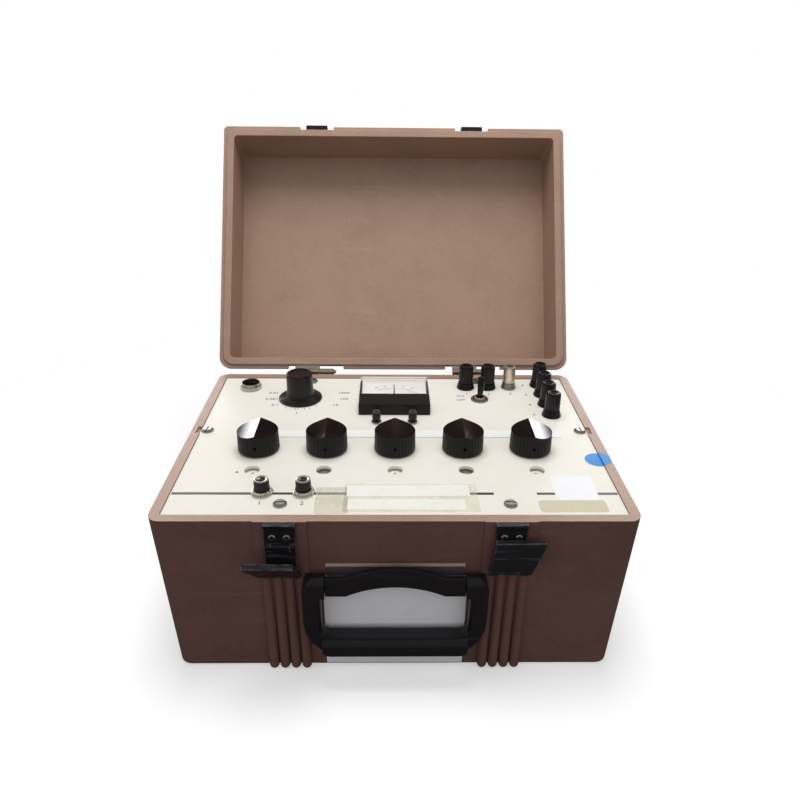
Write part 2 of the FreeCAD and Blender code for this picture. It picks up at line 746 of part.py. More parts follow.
def prism_pointer(low):
    """The needle: a hub with a tapering pointer and a short counterweight."""
    y = NEEDLE_Y
    outline = [V(-0.7, y, low), V(-0.35, NEEDLE_TIP_Y, low), V(0.35, NEEDLE_TIP_Y, low), V(0.7, y, low),
               V(0.9, y - 6.5, low), V(-0.9, y - 6.5, low)]
    blade = face_of(outline).extrude(V(0, 0, NEEDLE_T))
    return joined([blade, cyl(2.2, low, low + NEEDLE_T + 0.5, 0, y)])


def key_cap(x):
    """A push key: a black cap on a stem."""
    low = PANEL_TOP + KEY_TRAVEL + 0.5
    top = PANEL_TOP + KEY_TOP
    r = KEY_CAP_R
    cap = turned([(0, low), (r, low), (r, top - 1.2), (r - 0.5, top), (r - 1.2, top), (r - 1.5, top - 0.5),
                  (0, top - 0.5)], x, KEY_Y)
    stem_low = PANEL_TOP - KEY_THREAD_LEN - KEY_BLOCK_H + KEY_TRAVEL + 1.6
    return joined([cap, cyl(KEY_STEM_R, stem_low, low + 0.5, x, KEY_Y)])


def key_bushing(x):
    """A stepped chrome bushing that guides a key."""
    bore = KEY_CAP_R + KEY_FIT
    z = PANEL_TOP
    return turned([(KEY_STEM_R + KEY_FIT, z - KEY_THREAD_LEN), (KEY_THREAD_R, z - KEY_THREAD_LEN),
                   (KEY_THREAD_R, z), (KEY_FLANGE_R, z), (KEY_FLANGE_R, z + KEY_FLANGE_H),
                   (KEY_COLLAR_R, z + KEY_FLANGE_H + 0.4), (KEY_COLLAR_R - 0.2, z + KEY_COLLAR_H),
                   (bore, z + KEY_COLLAR_H), (bore, z), (KEY_STEM_R + KEY_FIT, z)], x, KEY_Y)


def keys():
    """Battery and detector keys with bushings, nuts and contact blocks."""
    for name, x in zip(("battery_key", "detector_key"), KEY_X):
        keep(name, key_cap(x))
    keep("key_bushings", *[key_bushing(x) for x in KEY_X])
    half = KEY_BLOCK / 2
    top = PANEL_TOP - KEY_THREAD_LEN
    blocks = []
    nuts = []
    for x in KEY_X:
        block = box(x - half, x + half, KEY_Y - half, KEY_Y + half, top - KEY_BLOCK_H, top)
        blocks.append(block.cut(cyl(KEY_STEM_R + 0.6, top - KEY_BLOCK_H + 1, top + 1, x, KEY_Y)))
        nuts.append(hexagon(17.0, PANEL_LOW - NUT_H, PANEL_LOW, x, KEY_Y, KEY_THREAD_R))
    keep("key_contact_blocks", *blocks)
    NUTS.extend(nuts)


def small_button(x):
    """A small galvanometer button on its stem."""
    low = PANEL_TOP + BUTTON_FLANGE_H + BUTTON_TRAVEL + 0.3
    top = PANEL_TOP + BUTTON_TOP
    r = BUTTON_R
    cap = turned([(0, low), (r, low), (r, top - 1.0), (r - 0.4, top), (r - 1.1, top), (r - 1.5, top - 0.5),
                  (0, top - 0.5)], x, BUTTON_Y)
    stem_low = PANEL_LOW - BUTTON_BODY_H + BUTTON_TRAVEL + 1.5
    return joined([cap, cyl(BUTTON_STEM_R, stem_low, low + 0.5, x, BUTTON_Y)])


def button_body(x):
    """A button's flange, threaded neck and switch body in one."""
    z = PANEL_TOP
    inner = BUTTON_STEM_R + KEY_FIT
    deep = PANEL_LOW - BUTTON_BODY_H
    return turned([(0, deep), (BUTTON_BODY_R, deep), (BUTTON_BODY_R, PANEL_LOW - 0.2),
                   (BUTTON_THREAD_R, PANEL_LOW - 0.2), (BUTTON_THREAD_R, z), (BUTTON_FLANGE_R, z),
                   (BUTTON_FLANGE_R - 0.4, z + BUTTON_FLANGE_H), (inner, z + BUTTON_FLANGE_H),
                   (inner, deep + 1), (0, deep + 1)], x, BUTTON_Y)


def small_buttons():
    """The pair of small buttons in front of the galvanometer."""
    keep("null_button_left", small_button(-BUTTON_X))
    keep("null_button_right", small_button(BUTTON_X))
    keep("null_button_bodies", button_body(-BUTTON_X), button_body(BUTTON_X))


def toggle():
    """The bat-handle toggle switch, resting tipped to the back."""
    pivot = PANEL_TOP - 0.5
    tip = pivot + TOGGLE_LEN
    lever = turned([(0, pivot + 1), (TOGGLE_BASE_R, pivot + 1), (TOGGLE_TIP_R, tip - 2),
                    (TOGGLE_TIP_R - 0.7, tip - 0.4), (0, tip)])
    lever = joined([lever, Part.makeSphere(TOGGLE_BALL_R, V(0, 0, pivot)), cyl(1.2, pivot - 7, pivot)])
    lever.rotate(V(0, 0, pivot), V(1, 0, 0), -TOGGLE_TILT)
    lever.rotate(V(0, 0, 0), V(0, 0, 1), -TOGGLE_TURN)
    lever.translate(V(TOGGLE_X, TOGGLE_Y, 0))
    keep("toggle_lever", lever)
    z = PANEL_TOP
    ball = TOGGLE_BALL_R + 0.25
    mouth = TOGGLE_NECK_R - 0.7
    neck = tube(TOGGLE_NECK_R, mouth, z - 6, z + TOGGLE_NECK_H, TOGGLE_X, TOGGLE_Y)
    seat = tube(mouth, ball, z - 1.4, z + 0.4, TOGGLE_X, TOGGLE_Y)
    w, d, h = TOGGLE_BODY
    body_top = PANEL_LOW - 0.2
    body = box(-w / 2, w / 2, -d / 2, d / 2, body_top - h, body_top)
    body = body.cut(box(-3.2, 3.2, -6, 6, body_top - h + 3, body_top + 1))
    body.rotate(V(0, 0, 0), V(0, 0, 1), -TOGGLE_TURN)
    body.translate(V(TOGGLE_X, TOGGLE_Y, 0))
    keep("toggle_switch", joined([body, neck, seat]))
    flange = turned([(TOGGLE_NECK_R, z), (TOGGLE_FLANGE_R, z), (TOGGLE_FLANGE_R, z + 0.8),
                     (TOGGLE_FLANGE_R - 0.6, z + TOGGLE_FLANGE_H), (TOGGLE_NECK_R + 1.2, z + TOGGLE_FLANGE_H),
                     (TOGGLE_NECK_R, z + 1.1)], TOGGLE_X, TOGGLE_Y)
    NUTS.append(flange)


def post_size(k):
    """The third post of the row is the slimmer metal one."""
    return METAL_POST_SCALE if k == 2 else 1.0


def post_cap(x, y, scale):
    """A post's screw cap, open at the top over the stud's jack."""
    low = PANEL_TOP + POST_FOOT_H + POST_REST_GAP
    top = PANEL_TOP + POST_H
    r = POST_CAP_R * scale
    bore = POST_STUD_R + POST_FIT
    return turned([(bore, low), (r + 0.1, low), (r, low + 4), (r, top - 0.8), (r - 0.8, top),
                   (bore + 0.4, top), (bore, top - 0.8)], x, y)


def post_foot(x, y, scale):
    """The flared foot and the bush that insulate a stud from the panel."""
    r = POST_FOOT_R * scale
    z = PANEL_TOP
    bore = POST_STUD_R
    deep = PANEL_LOW - 3
    return turned([(bore, deep), (POST_STEM_R, deep), (POST_STEM_R, z), (r, z), (r, z + 1.2),
                   (POST_CAP_R * scale + 0.3, z + POST_FOOT_H), (bore, z + POST_FOOT_H)], x, y)


def post_stud(x, y):
    """A hollow stud with a 4 mm jack in its top and a solder tail."""
    top = PANEL_TOP + POST_H - 1.5
    low = PANEL_LOW - 3 - POST_TAIL
    stud = joined([cyl(POST_STUD_R, low + 5, top, x, y), cyl(1.2, low, low + 5, x, y)])
    return stud.cut(cyl(POST_JACK_R, top - POST_JACK_DEPTH, top + 1, x, y))


def binding_posts():
    """Seven posts: caps, feet, studs and the nuts under the panel."""
    feet = []
    studs = []
    nuts = []
    for k, (x, y) in enumerate(post_places()):
        keep("post_cap_%d" % (k + 1), post_cap(x, y, post_size(k)))
        feet.append(post_foot(x, y, post_size(k)))
        studs.append(post_stud(x, y))
        nuts.append(hexagon(9.0, PANEL_LOW - 3 - NUT_H, PANEL_LOW - 3, x, y, POST_STUD_R))
    keep("post_feet", *feet)
    keep("post_studs", *studs)
    NUTS.extend(nuts)


def socket():
    """The round three-pin socket with its ring."""
    z = PANEL_TOP
    x, y = SOCKET_X, SOCKET_Y
    neck = SOCKET_LIP_R - 0.3
    shell = turned([(SOCKET_BORE_R, z - SOCKET_TAIL), (neck, z - SOCKET_TAIL), (neck, z), (SOCKET_R, z),
                    (SOCKET_R, z + SOCKET_H - 0.6), (SOCKET_R - 0.6, z + SOCKET_H),
                    (SOCKET_LIP_R, z + SOCKET_H), (neck, z + SOCKET_LIP_H),
                    (SOCKET_BORE_R, z + SOCKET_LIP_H)], x, y)
    keep("socket_shell", shell)
    top = z + SOCKET_LIP_H - SOCKET_BORE_DEPTH
    core = cyl(SOCKET_BORE_R, z - SOCKET_TAIL, top, x, y)
    pins = []
    for k in range(3):
        a = math.radians(90 + 120 * k)
        px = x + SOCKET_PIN_RING * math.cos(a)
        py = y + SOCKET_PIN_RING * math.sin(a)
        pins.append(cyl(SOCKET_PIN_R, z - SOCKET_TAIL - 3, top + SOCKET_PIN_H, px, py))
    keep("socket_insert", without(core, pins), *pins)


def latch_base():
    """The fixed plate of the right latch: two screws, a lip above and ears for the link."""
    half = LATCH_W / 2
    y0 = PAD_Y
    y1 = y0 - LATCH_PLATE_T
    top = BASE_H - LATCH_LIP_DROP
    low = LATCH_HINGE_Z + LATCH_KNUCKLE_R + 0.4
    lip = y0 - LATCH_LIP_OUT
    outline = [(y0, low), (y1, low), (y1, top - 4.0), (lip, top - LATCH_LIP_T), (lip, top), (y0, top)]
    plate = prism_x(outline, LATCH_X - half, LATCH_X + half)
    axis_y = y0 - LATCH_HINGE_OUT
    foot_z = LATCH_HINGE_Z - 1.5
    ears = []
    for x0 in (LATCH_X - half, LATCH_X + half - LATCH_EAR_W):
        x1 = x0 + LATCH_EAR_W
        ear = prism_x([(y0, foot_z), (axis_y, foot_z), (axis_y, low + 0.5), (y0, low + 0.5)], x0, x1)
        ears.extend([ear, cyl_x(LATCH_KNUCKLE_R, x0, x1, axis_y, LATCH_HINGE_Z)])
    base = joined([plate] + ears)
    base = base.common(box(0, CASE_W, -CASE_D, PAD_Y, 0, CASE_W))
    bore_r = LATCH_PIN_R + LATCH_PIN_FIT
    holes = [cyl_x(bore_r, LATCH_X - half - 1, LATCH_X + half + 1, axis_y, LATCH_HINGE_Z)]
    for dx in (-LATCH_SCREW_DX, LATCH_SCREW_DX):
        holes.append(cyl_y(1.7, y1 - 1, y0 + 1, LATCH_X + dx, LATCH_SCREW_Z))
    return without(base, holes)


def latch_axes():
    """The link's own axis and the lever's axis at rest, as (y, z)."""
    y = PAD_Y - LATCH_HINGE_OUT
    return (y, LATCH_HINGE_Z), (y - LATCH_LEVER_OFF, LATCH_HINGE_Z - LATCH_LINK_LEN)


def latch_link():
    """The right link, hanging from the base, with the pins of both its hinges on it."""
    (ya, za), (yb, zb) = latch_axes()
    half = LATCH_W / 2
    inner = half - LATCH_EAR_W - LATCH_FIT
    x0 = LATCH_X - inner
    x1 = LATCH_X + inner
    back = ya + LATCH_LINK_T / 2
    front = ya - LATCH_LINK_T / 2
    hub = cyl_x(LATCH_KNUCKLE_R, x0, x1, ya, za)
    upper_pin = cyl_x(LATCH_PIN_R, LATCH_X - half, LATCH_X + half, ya, za)
    neck = box(x0, x1, front, back, za - 4, za)
    plate_low = zb + LATCH_KNUCKLE_R + 0.4
    plate_top = za - LATCH_KNUCKLE_R - 0.8
    plate = box(LATCH_X - half, LATCH_X + half, front, back, plate_low, plate_top)
    foot = box(x0, x1, yb, back, zb, zb + 3)
    knuckle = cyl_x(LATCH_KNUCKLE_R, x0, x1, yb, zb)
    lower_pin = cyl_x(LATCH_PIN_R, LATCH_X - half, LATCH_X + half + 1, yb, zb)
    return joined([hub, upper_pin, neck, plate, foot, knuckle, lower_pin])


def latch_lever(rest_angle):
    """The right lever, a flared plate, turned from hanging down to its rest angle."""
    (_, _), (yb, zb) = latch_axes()
    half = LATCH_W / 2
    inner = half - LATCH_EAR_W + LATCH_FIT
    near = yb - LATCH_LEVER_CLEAR
    far = near - LATCH_LEVER_T
    foot_l, foot_r = LATCH_LEVER_FOOT
    head_l, head_r = LATCH_LEVER_HEAD
    top = zb + LATCH_LEVER_LEN
    foot_z = zb + LATCH_KNUCKLE_R * 0.4
    outline = [(LATCH_X + foot_l, foot_z), (LATCH_X + foot_r, foot_z), (LATCH_X + head_r, top - 2.5),
               (LATCH_X + head_r - 0.5, top), (LATCH_X + head_l, top)]
    plate = prism_y(outline, far, near)
    rolls = []
    for x0, x1 in ((LATCH_X + foot_l, LATCH_X - inner), (LATCH_X + inner, LATCH_X + half + 2)):
        rolls.append(cyl_x(LATCH_KNUCKLE_R, x0, x1, yb, zb))
        rolls.append(box(x0, x1, far, yb, zb, zb + LATCH_KNUCKLE_R))
    notch = box(LATCH_X - inner, LATCH_X + inner, far - 1, near + 1, zb - 4, zb + LATCH_KNUCKLE_R + 0.3)
    lever = joined([plate.cut(notch)] + rolls)
    bore = cyl_x(LATCH_PIN_R + LATCH_PIN_FIT, LATCH_X - half - 3, LATCH_X + half + 1.3, yb, zb)
    lever = lever.cut(bore)
    lever.rotate(V(0, yb, zb), V(1, 0, 0), 180 - rest_angle)
    return lever


def latch_screw(x):
    """A cross-head screw in a latch plate."""
    y = PAD_Y - LATCH_PLATE_T
    r = LATCH_SCREW_R
    head = cyl_y(r, y - 1.3, y, x, LATCH_SCREW_Z)
    head = head.makeFillet(0.6, [e for e in head.Edges if abs(e.CenterOfMass.y - y + 1.3) < 0.01])
    shank = cyl_y(1.25, y - 0.5, PAD_Y + 6, x, LATCH_SCREW_Z)
    cross = []
    for w, h in ((2.6, 0.7), (0.7, 2.6)):
        cross.append(box(x - w / 2, x + w / 2, y - 2, y - 0.4, LATCH_SCREW_Z - h / 2, LATCH_SCREW_Z + h / 2))
    return without(head.fuse(shank), cross)


def latches():
    """Both front latches."""
    keep("latch_bases", latch_base(), mirrored(latch_base()))
    keep("latch_link_right", latch_link())
    keep("latch_link_left", mirrored(latch_link()))
    keep("latch_lever_right", latch_lever(LATCH_RIGHT_REST))
    keep("latch_lever_left", mirrored(latch_lever(LATCH_LEFT_REST)))
    places = [side * LATCH_X + dx for side in (-1, 1) for dx in (-LATCH_SCREW_DX, LATCH_SCREW_DX)]
    keep("latch_screws", *[latch_screw(x) for x in places])


def bracket_outline():
    """The arched front of the handle bracket."""
    half = BRACKET_HALF_W
    low = BRACKET_MID_Z - BRACKET_BOSS_H / 2
    top = BRACKET_MID_Z + BRACKET_BOSS_H / 2
    inner = half - BRACKET_BOSS_W
    rise = BRACKET_ARCH_RISE
    edges = [Part.makeLine(V(-half, 0, low), V(-half, 0, top)),
             Part.makeLine(V(-half, 0, top), V(-inner, 0, top)),
             Part.Arc(V(-inner, 0, top), V(0, 0, top + rise), V(inner, 0, top)).toShape(),
             Part.makeLine(V(inner, 0, top), V(half, 0, top)),
             Part.makeLine(V(half, 0, top), V(half, 0, low)),
             Part.makeLine(V(half, 0, low), V(inner, 0, low)),
             Part.Arc(V(inner, 0, low), V(0, 0, low + rise), V(-inner, 0, low)).toShape(),
             Part.makeLine(V(-inner, 0, low), V(-half, 0, low))]
    return Part.Face(Part.Wire(edges))


def handle_bracket():
    """The arched bracket: a boss at each end that takes the handle's stubs."""
    front = HANDLE_PIVOT_Y - BRACKET_OUT
    slab = bracket_outline()
    slab.translate(V(0, front, 0))
    arch = slab.extrude(V(0, BRACKET_ARCH_T, 0))
    low = BRACKET_MID_Z - BRACKET_BOSS_H / 2
    back = -CASE_D / 2 + BASE_DRAFT
    outline = [(front, low), (back, low), (back, low + BRACKET_BACK_H), (front, low + BRACKET_BOSS_H)]
    bosses = [prism_x(outline, x0, x0 + BRACKET_BOSS_W)
              for x0 in (-BRACKET_HALF_W, BRACKET_HALF_W - BRACKET_BOSS_W)]
    bracket = joined([arch] + bosses).cut(case_outside())
    bracket = without(bracket, card_solids())
    bore_start = BRACKET_HALF_W - HANDLE_STUB_LEN - 0.5
    bore = cyl_x(HANDLE_STUB_R + HANDLE_FIT, bore_start, BRACKET_HALF_W + 1, HANDLE_PIVOT_Y, HANDLE_PIVOT_Z)
    keep("handle_bracket", without(bracket, [bore, mirrored(bore)]))


def handle_outline(half_w, low, top, r):
    """A U-shaped front outline with round lower corners, as a face on the XZ plane."""
    diag = r * math.sqrt(0.5)
    right = V(half_w - r, 0, low + r)
    left = V(r - half_w, 0, low + r)
    edges = [Part.makeLine(V(-half_w, 0, top), V(-half_w, 0, low + r)),
             Part.Arc(V(-half_w, 0, low + r), left + V(-diag, 0, -diag), V(left.x, 0, low)).toShape(),
             Part.makeLine(V(left.x, 0, low), V(right.x, 0, low)),
             Part.Arc(V(right.x, 0, low), right + V(diag, 0, -diag), V(half_w, 0, low + r)).toShape(),
             Part.makeLine(V(half_w, 0, low + r), V(half_w, 0, top)),
             Part.makeLine(V(half_w, 0, top), V(-half_w, 0, top))]
    return Part.Face(Part.Wire(edges))


def handle_slab(half_w, low, top, r, half_t):
    """A slab of the handle's outline, as thick as given, about the pivot's plane."""
    face = handle_outline(half_w, low, top, r)
    face.translate(V(0, HANDLE_PIVOT_Y - half_t, 0))
    return face.extrude(V(0, 2 * half_t, 0))


def handle_shoulder():
    """The top of the right arm, rounded about the pivot and stepping in to the bracket."""
    inner = BRACKET_HALF_W + HANDLE_SIDE_GAP
    half_t = HANDLE_ARM_T / 2
    y, z = HANDLE_PIVOT_Y, HANDLE_PIVOT_Z
    low = z - HANDLE_SHOULDER_H
    roll = cyl_x(half_t, inner, HANDLE_HALF_W, y, z)
    block = joined([roll, box(inner, HANDLE_HALF_W, y - half_t, y + half_t, low, z)])
    centre_x = HANDLE_HALF_W - HANDLE_SHOULDER_R
    crown = cyl_y(HANDLE_SHOULDER_R, y - half_t - 1, y + half_t + 1, centre_x, z - HANDLE_SHOULDER_H + 2)
    keep_low = box(inner - 1, HANDLE_HALF_W + 1, y - half_t - 1, y + half_t + 1, low - 1, low + 2)
    block = block.common(joined([crown, keep_low]))
    wire = rounded_wire(HANDLE_HALF_W, half_t, HANDLE_EDGE_R, low)
    wire.translate(V(0, y, 0))
    return block.common(Part.Face(wire).extrude(V(0, 0, 40)))


def handle_frame(low, top, opening_low):
    """The two arms and the lower bow in one, its edges rounded."""
    half_t = HANDLE_ARM_T / 2
    inner = HANDLE_HALF_W - HANDLE_ARM_W
    outer = handle_slab(HANDLE_HALF_W, low, top, HANDLE_CORNER_R, half_t)
    opening = handle_slab(inner, opening_low, top + 1, HANDLE_INNER_R, half_t + 1)
    frame = outer.cut(opening)
    flat = [e for e in frame.Edges if abs(abs(e.CenterOfMass.y - HANDLE_PIVOT_Y) - half_t) < 0.01]
    bow = [e for e in flat if e.CenterOfMass.z < top - 0.01]
    return frame.makeFillet(HANDLE_EDGE_R, bow)


def handle_grip(low, opening_low):
    """The thicker grip, whose ends follow the bow."""
    z0 = low + HANDLE_GRIP_INSET
    half_z = (opening_low - z0) / 2
    reach = HANDLE_HALF_W - HANDLE_ARM_W - 0.5
    wire = rounded_wire(half_z, HANDLE_GRIP_W / 2, HANDLE_GRIP_EDGE_R, 0)
    wire.rotate(V(0, 0, 0), V(0, 1, 0), 90)
    wire.translate(V(-reach, HANDLE_PIVOT_Y - HANDLE_GRIP_OUT, z0 + half_z))
    bar = Part.Face(wire).extrude(V(2 * reach, 0, 0))
    half_w = HANDLE_HALF_W - HANDLE_GRIP_INSET
    corner = HANDLE_CORNER_R - HANDLE_GRIP_INSET
    return bar.common(handle_slab(half_w, z0 - 1, opening_low + 1, corner, HANDLE_GRIP_W))


def handle_loop():
    """The carrying handle: a bow with its grip, two shoulders and the stubs it turns on."""
    z_grip = HANDLE_PIVOT_Z - HANDLE_GRIP_DROP
    low = z_grip - HANDLE_GRIP_T / 2
    opening_low = z_grip + HANDLE_GRIP_T / 2
    top = HANDLE_PIVOT_Z - HANDLE_SHOULDER_H
    frame = handle_frame(low, top, opening_low)
    stub_start = BRACKET_HALF_W - HANDLE_STUB_LEN
    stub = cyl_x(HANDLE_STUB_R, stub_start, HANDLE_HALF_W - HANDLE_ARM_W / 2, HANDLE_PIVOT_Y, HANDLE_PIVOT_Z)
    side = joined([handle_shoulder(), stub])
    keep("handle_loop", joined([frame, side, mirrored(side), handle_grip(low, opening_low)]))


def card_solids():
    """The header strip and the card below it, lying on the sloping front wall."""
    plates = []
    for width, low, top in ((CARD_HEAD_W, CARD_SPLIT_Z - 1, CARD_TOP_Z), (CARD_W, CARD_LOW_Z, CARD_SPLIT_Z)):
        plate = box(-width / 2, width / 2, -CARD_T, 0.6, low, top)
        plate.rotate(V(0, 0, 0), V(1, 0, 0), DRAFT_ANGLE)
        plate.translate(V(0, wall_y(0), 0))
        plates.append(plate.cut(case_outside()))
    head = plates[0].cut(plates[1])
    return [head, plates[1]]


def instruction_card():
    """The two pieces of the card on the front."""
    keep("instruction_card", *card_solids())


def lid_outside():
    """The lid's outer form, shut."""
    low = BASE_H + LID_RIM_GAP
    half_w = CASE_W / 2 - LID_RIM_W + LID_WALL
    half_d = CASE_D / 2 - LID_RIM_W + LID_WALL
    return rounded_block(half_w, half_d, LID_CAVITY_R + LID_WALL, low + 1, low + LID_OUTER_H, -LID_DRAFT)


def lid_flange(low):
    """The wider plate that stands out all round behind the rim."""
    half_w = CASE_W / 2 + LID_FLANGE_OVER
    half_d = CASE_D / 2 + LID_FLANGE_OVER
    plate = box(-half_w, half_w, -half_d, half_d, low, low + LID_FLANGE_T)
    upright = [e for e in plate.Edges if abs(e.tangentAt(0).z) > 0.5]
    plate = plate.makeFillet(LID_FLANGE_FRONT_R, [e for e in upright if e.CenterOfMass.y < 0])
    upright = [e for e in plate.Edges if abs(e.tangentAt(e.FirstParameter).z) > 0.5 and e.CenterOfMass.y > 0]
    return plate.makeFillet(LID_FLANGE_BACK_R, upright)


def lid_shell():
    """The moulded lid with its rim, its flange and the notches for hinges and catches."""
    low = BASE_H + LID_RIM_GAP
    half_w = CASE_W / 2
    half_d = CASE_D / 2
    body = lid_outside()
    top_edges = [e for e in body.Edges if all(p.Point.z > low + LID_OUTER_H - 0.01 for p in e.Vertexes)]
    body = body.makeFillet(LID_TOP_EDGE_R, top_edges)
    rim = rounded_block(half_w, half_d, LID_RIM_CORNER_R, low, low + LID_RIM_T)
    step = low + LID_RIM_T
    shell = joined([body, rim, lid_flange(step)])
    roof = low + LID_INNER_H
    inner_w = half_w - LID_RIM_W
    inner_d = half_d - LID_RIM_W
    cutters = [rounded_block(inner_w, inner_d, LID_CAVITY_R, low - 1, roof, -LID_CAVITY_DRAFT)]
    for x0, x1 in hinge_spans():
        m = HINGE_NOTCH_MARGIN
        cutters.append(box(x0 - m, x1 + m, half_d + 0.3, half_d + 20, low - 1, low + 20))
        cutters.append(box(x0 - m, x1 + m, half_d - LID_RIM_W + LID_WALL, half_d + 20, step, low + 20))
    half_notch = LATCH_W / 2 + CATCH_NOTCH_GAP
    for x in (-LATCH_X, LATCH_X):
        cutters.append(box(x - half_notch, x + half_notch, -half_d - 20, -half_d, low - 1, low + 20))
    keep("lid_shell", opened(without(shell, cutters)))


def lid_catches():
    """The hooks on the lid that the latches hold."""
    low = BASE_H + LID_RIM_GAP
    front = -CASE_D / 2
    nose = front - CATCH_OUT
    outline = [(front, low + 0.6), (nose, low + 0.6), (nose, low + 7.0), (nose + 1.6, low + 7.0),
               (nose + 1.6, low + 4.6), (front, low + 4.6)]
    hooks = [prism_x(outline, x - LATCH_W / 2, x + LATCH_W / 2) for x in (-LATCH_X, LATCH_X)]
    keep("lid_catches", *[opened(hook) for hook in hooks])


def base_leaf(x0, x1):
    """A hinge's lower leaf with its round-nosed knuckle and the pin in it."""
    back = CASE_D / 2
    split = x0 + HINGE_SPLIT
    y, z = HINGE_Y, HINGE_Z
    t = HINGE_LEAF_T
    low = BASE_H - HINGE_LEAF_DOWN
    outline = [(back - 4, low), (back + t, low), (back + t, z - 5.5), (y - 1.0, z - 2.2),
               (y, z), (y - 2.4, z - 1.2), (back - 0.2, z - 4.2), (back - 4, z - 5.5)]
    leaf = prism_x(outline, split + HINGE_END_GAP, x1 - 3)
    knuckle = cyl_x(HINGE_R, split + HINGE_END_GAP, x1 - 3, y, z)
    nose = Part.makeCone(HINGE_R, HINGE_R * 0.35, 3, V(x1 - 3, y, z), V(1, 0, 0))
    pin = cyl_x(HINGE_PIN_R, x0 + 1, split + 2, y, z)
    leaf = joined([leaf, knuckle, nose, pin]).cut(case_outside())
    return leaf


def lid_leaf(x0, x1):
    """A hinge's upper leaf with the knuckle that slips over the pin, shut."""
    y, z = HINGE_Y, HINGE_Z
    wall = CASE_D / 2 - LID_RIM_W + LID_WALL
    rim_top = BASE_H + LID_RIM_GAP + LID_RIM_T
    t = HINGE_LEAF_T
    outline = [(wall - 2, rim_top), (wall + 3.6, rim_top), (wall + 3.6, rim_top - 0.8), (y - 2.0, z + 0.6),
               (y, z + HINGE_R), (y - 1.4, rim_top + t + 0.4), (wall + t, rim_top + t + 0.6),
               (wall + t, BASE_H + HINGE_LEAF_UP), (wall - 2, BASE_H + HINGE_LEAF_UP)]
    split = x0 + HINGE_SPLIT
    leaf = prism_x(outline, x0, split)
    knuckle = cyl_x(HINGE_R, x0, split, y, z)
    flange_edge = box(x0 - 1, split + 1, wall - 3, wall, rim_top, rim_top + LID_FLANGE_T)
    leaf = without(joined([leaf, knuckle]), [lid_outside(), flange_edge])
    return leaf.cut(cyl_x(HINGE_PIN_R + HINGE_FIT, x0 - 1, split + 1, y, z))


def hinges():
    """Both slip-apart hinges and their rivets."""
    keep("hinge_base_leaves", *[base_leaf(x0, x1) for x0, x1 in hinge_spans()])
    keep("hinge_lid_leaves", *[opened(lid_leaf(x0, x1)) for x0, x1 in hinge_spans()])


def battery_box():
    """The battery tray on the floor and the three cells in it."""
    half_x = CELL_COUNT * CELL_PITCH / 2
    y0 = HOLDER_Y - CELL_L / 2 - 1
    y1 = HOLDER_Y + CELL_L / 2 + 1
    wall = HOLDER_WALL
    x0 = HOLDER_X - half_x
    x1 = HOLDER_X + half_x
    tray = box(x0 - wall, x1 + wall, y0 - wall, y1 + wall, FLOOR_T, FLOOR_T + HOLDER_H)
    tray = tray.cut(box(x0, x1, y0, y1, FLOOR_T + wall, FLOOR_T + HOLDER_H + 1))
    keep("battery_tray", tray)
    z = FLOOR_T + wall + CELL_R
    first = HOLDER_X - (CELL_COUNT - 1) / 2 * CELL_PITCH
    cells = []
    for k in range(CELL_COUNT):
        x = first + k * CELL_PITCH
        cells.append(joined([cyl_y(CELL_R, y0 + 1, y1 - 2.5, x, z), cyl_y(3.0, y1 - 3, y1, x, z)]))
    keep("battery_cells", *cells)


def main():
    """Builds every piece and writes its file."""
    base_shell()
    panel()
    panel_screws()
    decades()
    switch_plate()
    decade_switches()
    multiplier()
    galvanometer()
    keys()
    small_buttons()
    toggle()
    binding_posts()
    socket()
    latches()
    handle_bracket()
    handle_loop()
    instruction_card()
    lid_shell()
    lid_catches()
    hinges()
    battery_box()
    keep("rotary_switches", *SWITCHES)
    keep("panel_nuts", *NUTS)
    os.makedirs("parts", exist_ok=True)
    for name, shape in PARTS.items():
        shape.exportStep("parts/%s.step" % name)
        print(name, len(shape.Solids), round(shape.Volume, 1), shape.isValid())
    print(len(PARTS), "nodes")


main()
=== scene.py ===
"""Looks of a portable Wheatstone bridge in a moulded carrying case, lid open.

Metres, in the frame of the packed model: +Z up, +X to the right, the front looks along -Y.
"""
import math

import bmesh
import bpy
from mathutils import Matrix, Vector


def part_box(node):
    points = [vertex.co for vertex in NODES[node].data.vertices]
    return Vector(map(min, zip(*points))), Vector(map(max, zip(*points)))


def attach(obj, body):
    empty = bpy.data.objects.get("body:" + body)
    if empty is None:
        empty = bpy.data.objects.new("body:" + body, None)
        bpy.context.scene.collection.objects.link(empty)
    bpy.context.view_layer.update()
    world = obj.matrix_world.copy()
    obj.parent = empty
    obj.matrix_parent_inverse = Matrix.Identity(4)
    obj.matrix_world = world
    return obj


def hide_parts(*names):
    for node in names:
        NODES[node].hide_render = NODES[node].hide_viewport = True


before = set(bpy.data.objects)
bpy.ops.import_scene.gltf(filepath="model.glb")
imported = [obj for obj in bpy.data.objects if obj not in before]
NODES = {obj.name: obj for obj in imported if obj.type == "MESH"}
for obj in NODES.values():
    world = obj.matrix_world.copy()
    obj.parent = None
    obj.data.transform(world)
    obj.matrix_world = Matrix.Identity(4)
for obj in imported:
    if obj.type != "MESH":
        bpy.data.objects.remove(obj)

bl_info = {
    "name": "Wheatstone bridge",
    "version": (1, 0, 0),
    "blender": (4, 5, 0),
    "location": "View3D > Sidebar > Bridge",
    "description": "Builds the visible pieces of a portable Wheatstone bridge around its frame",
    "category": "Object",
}

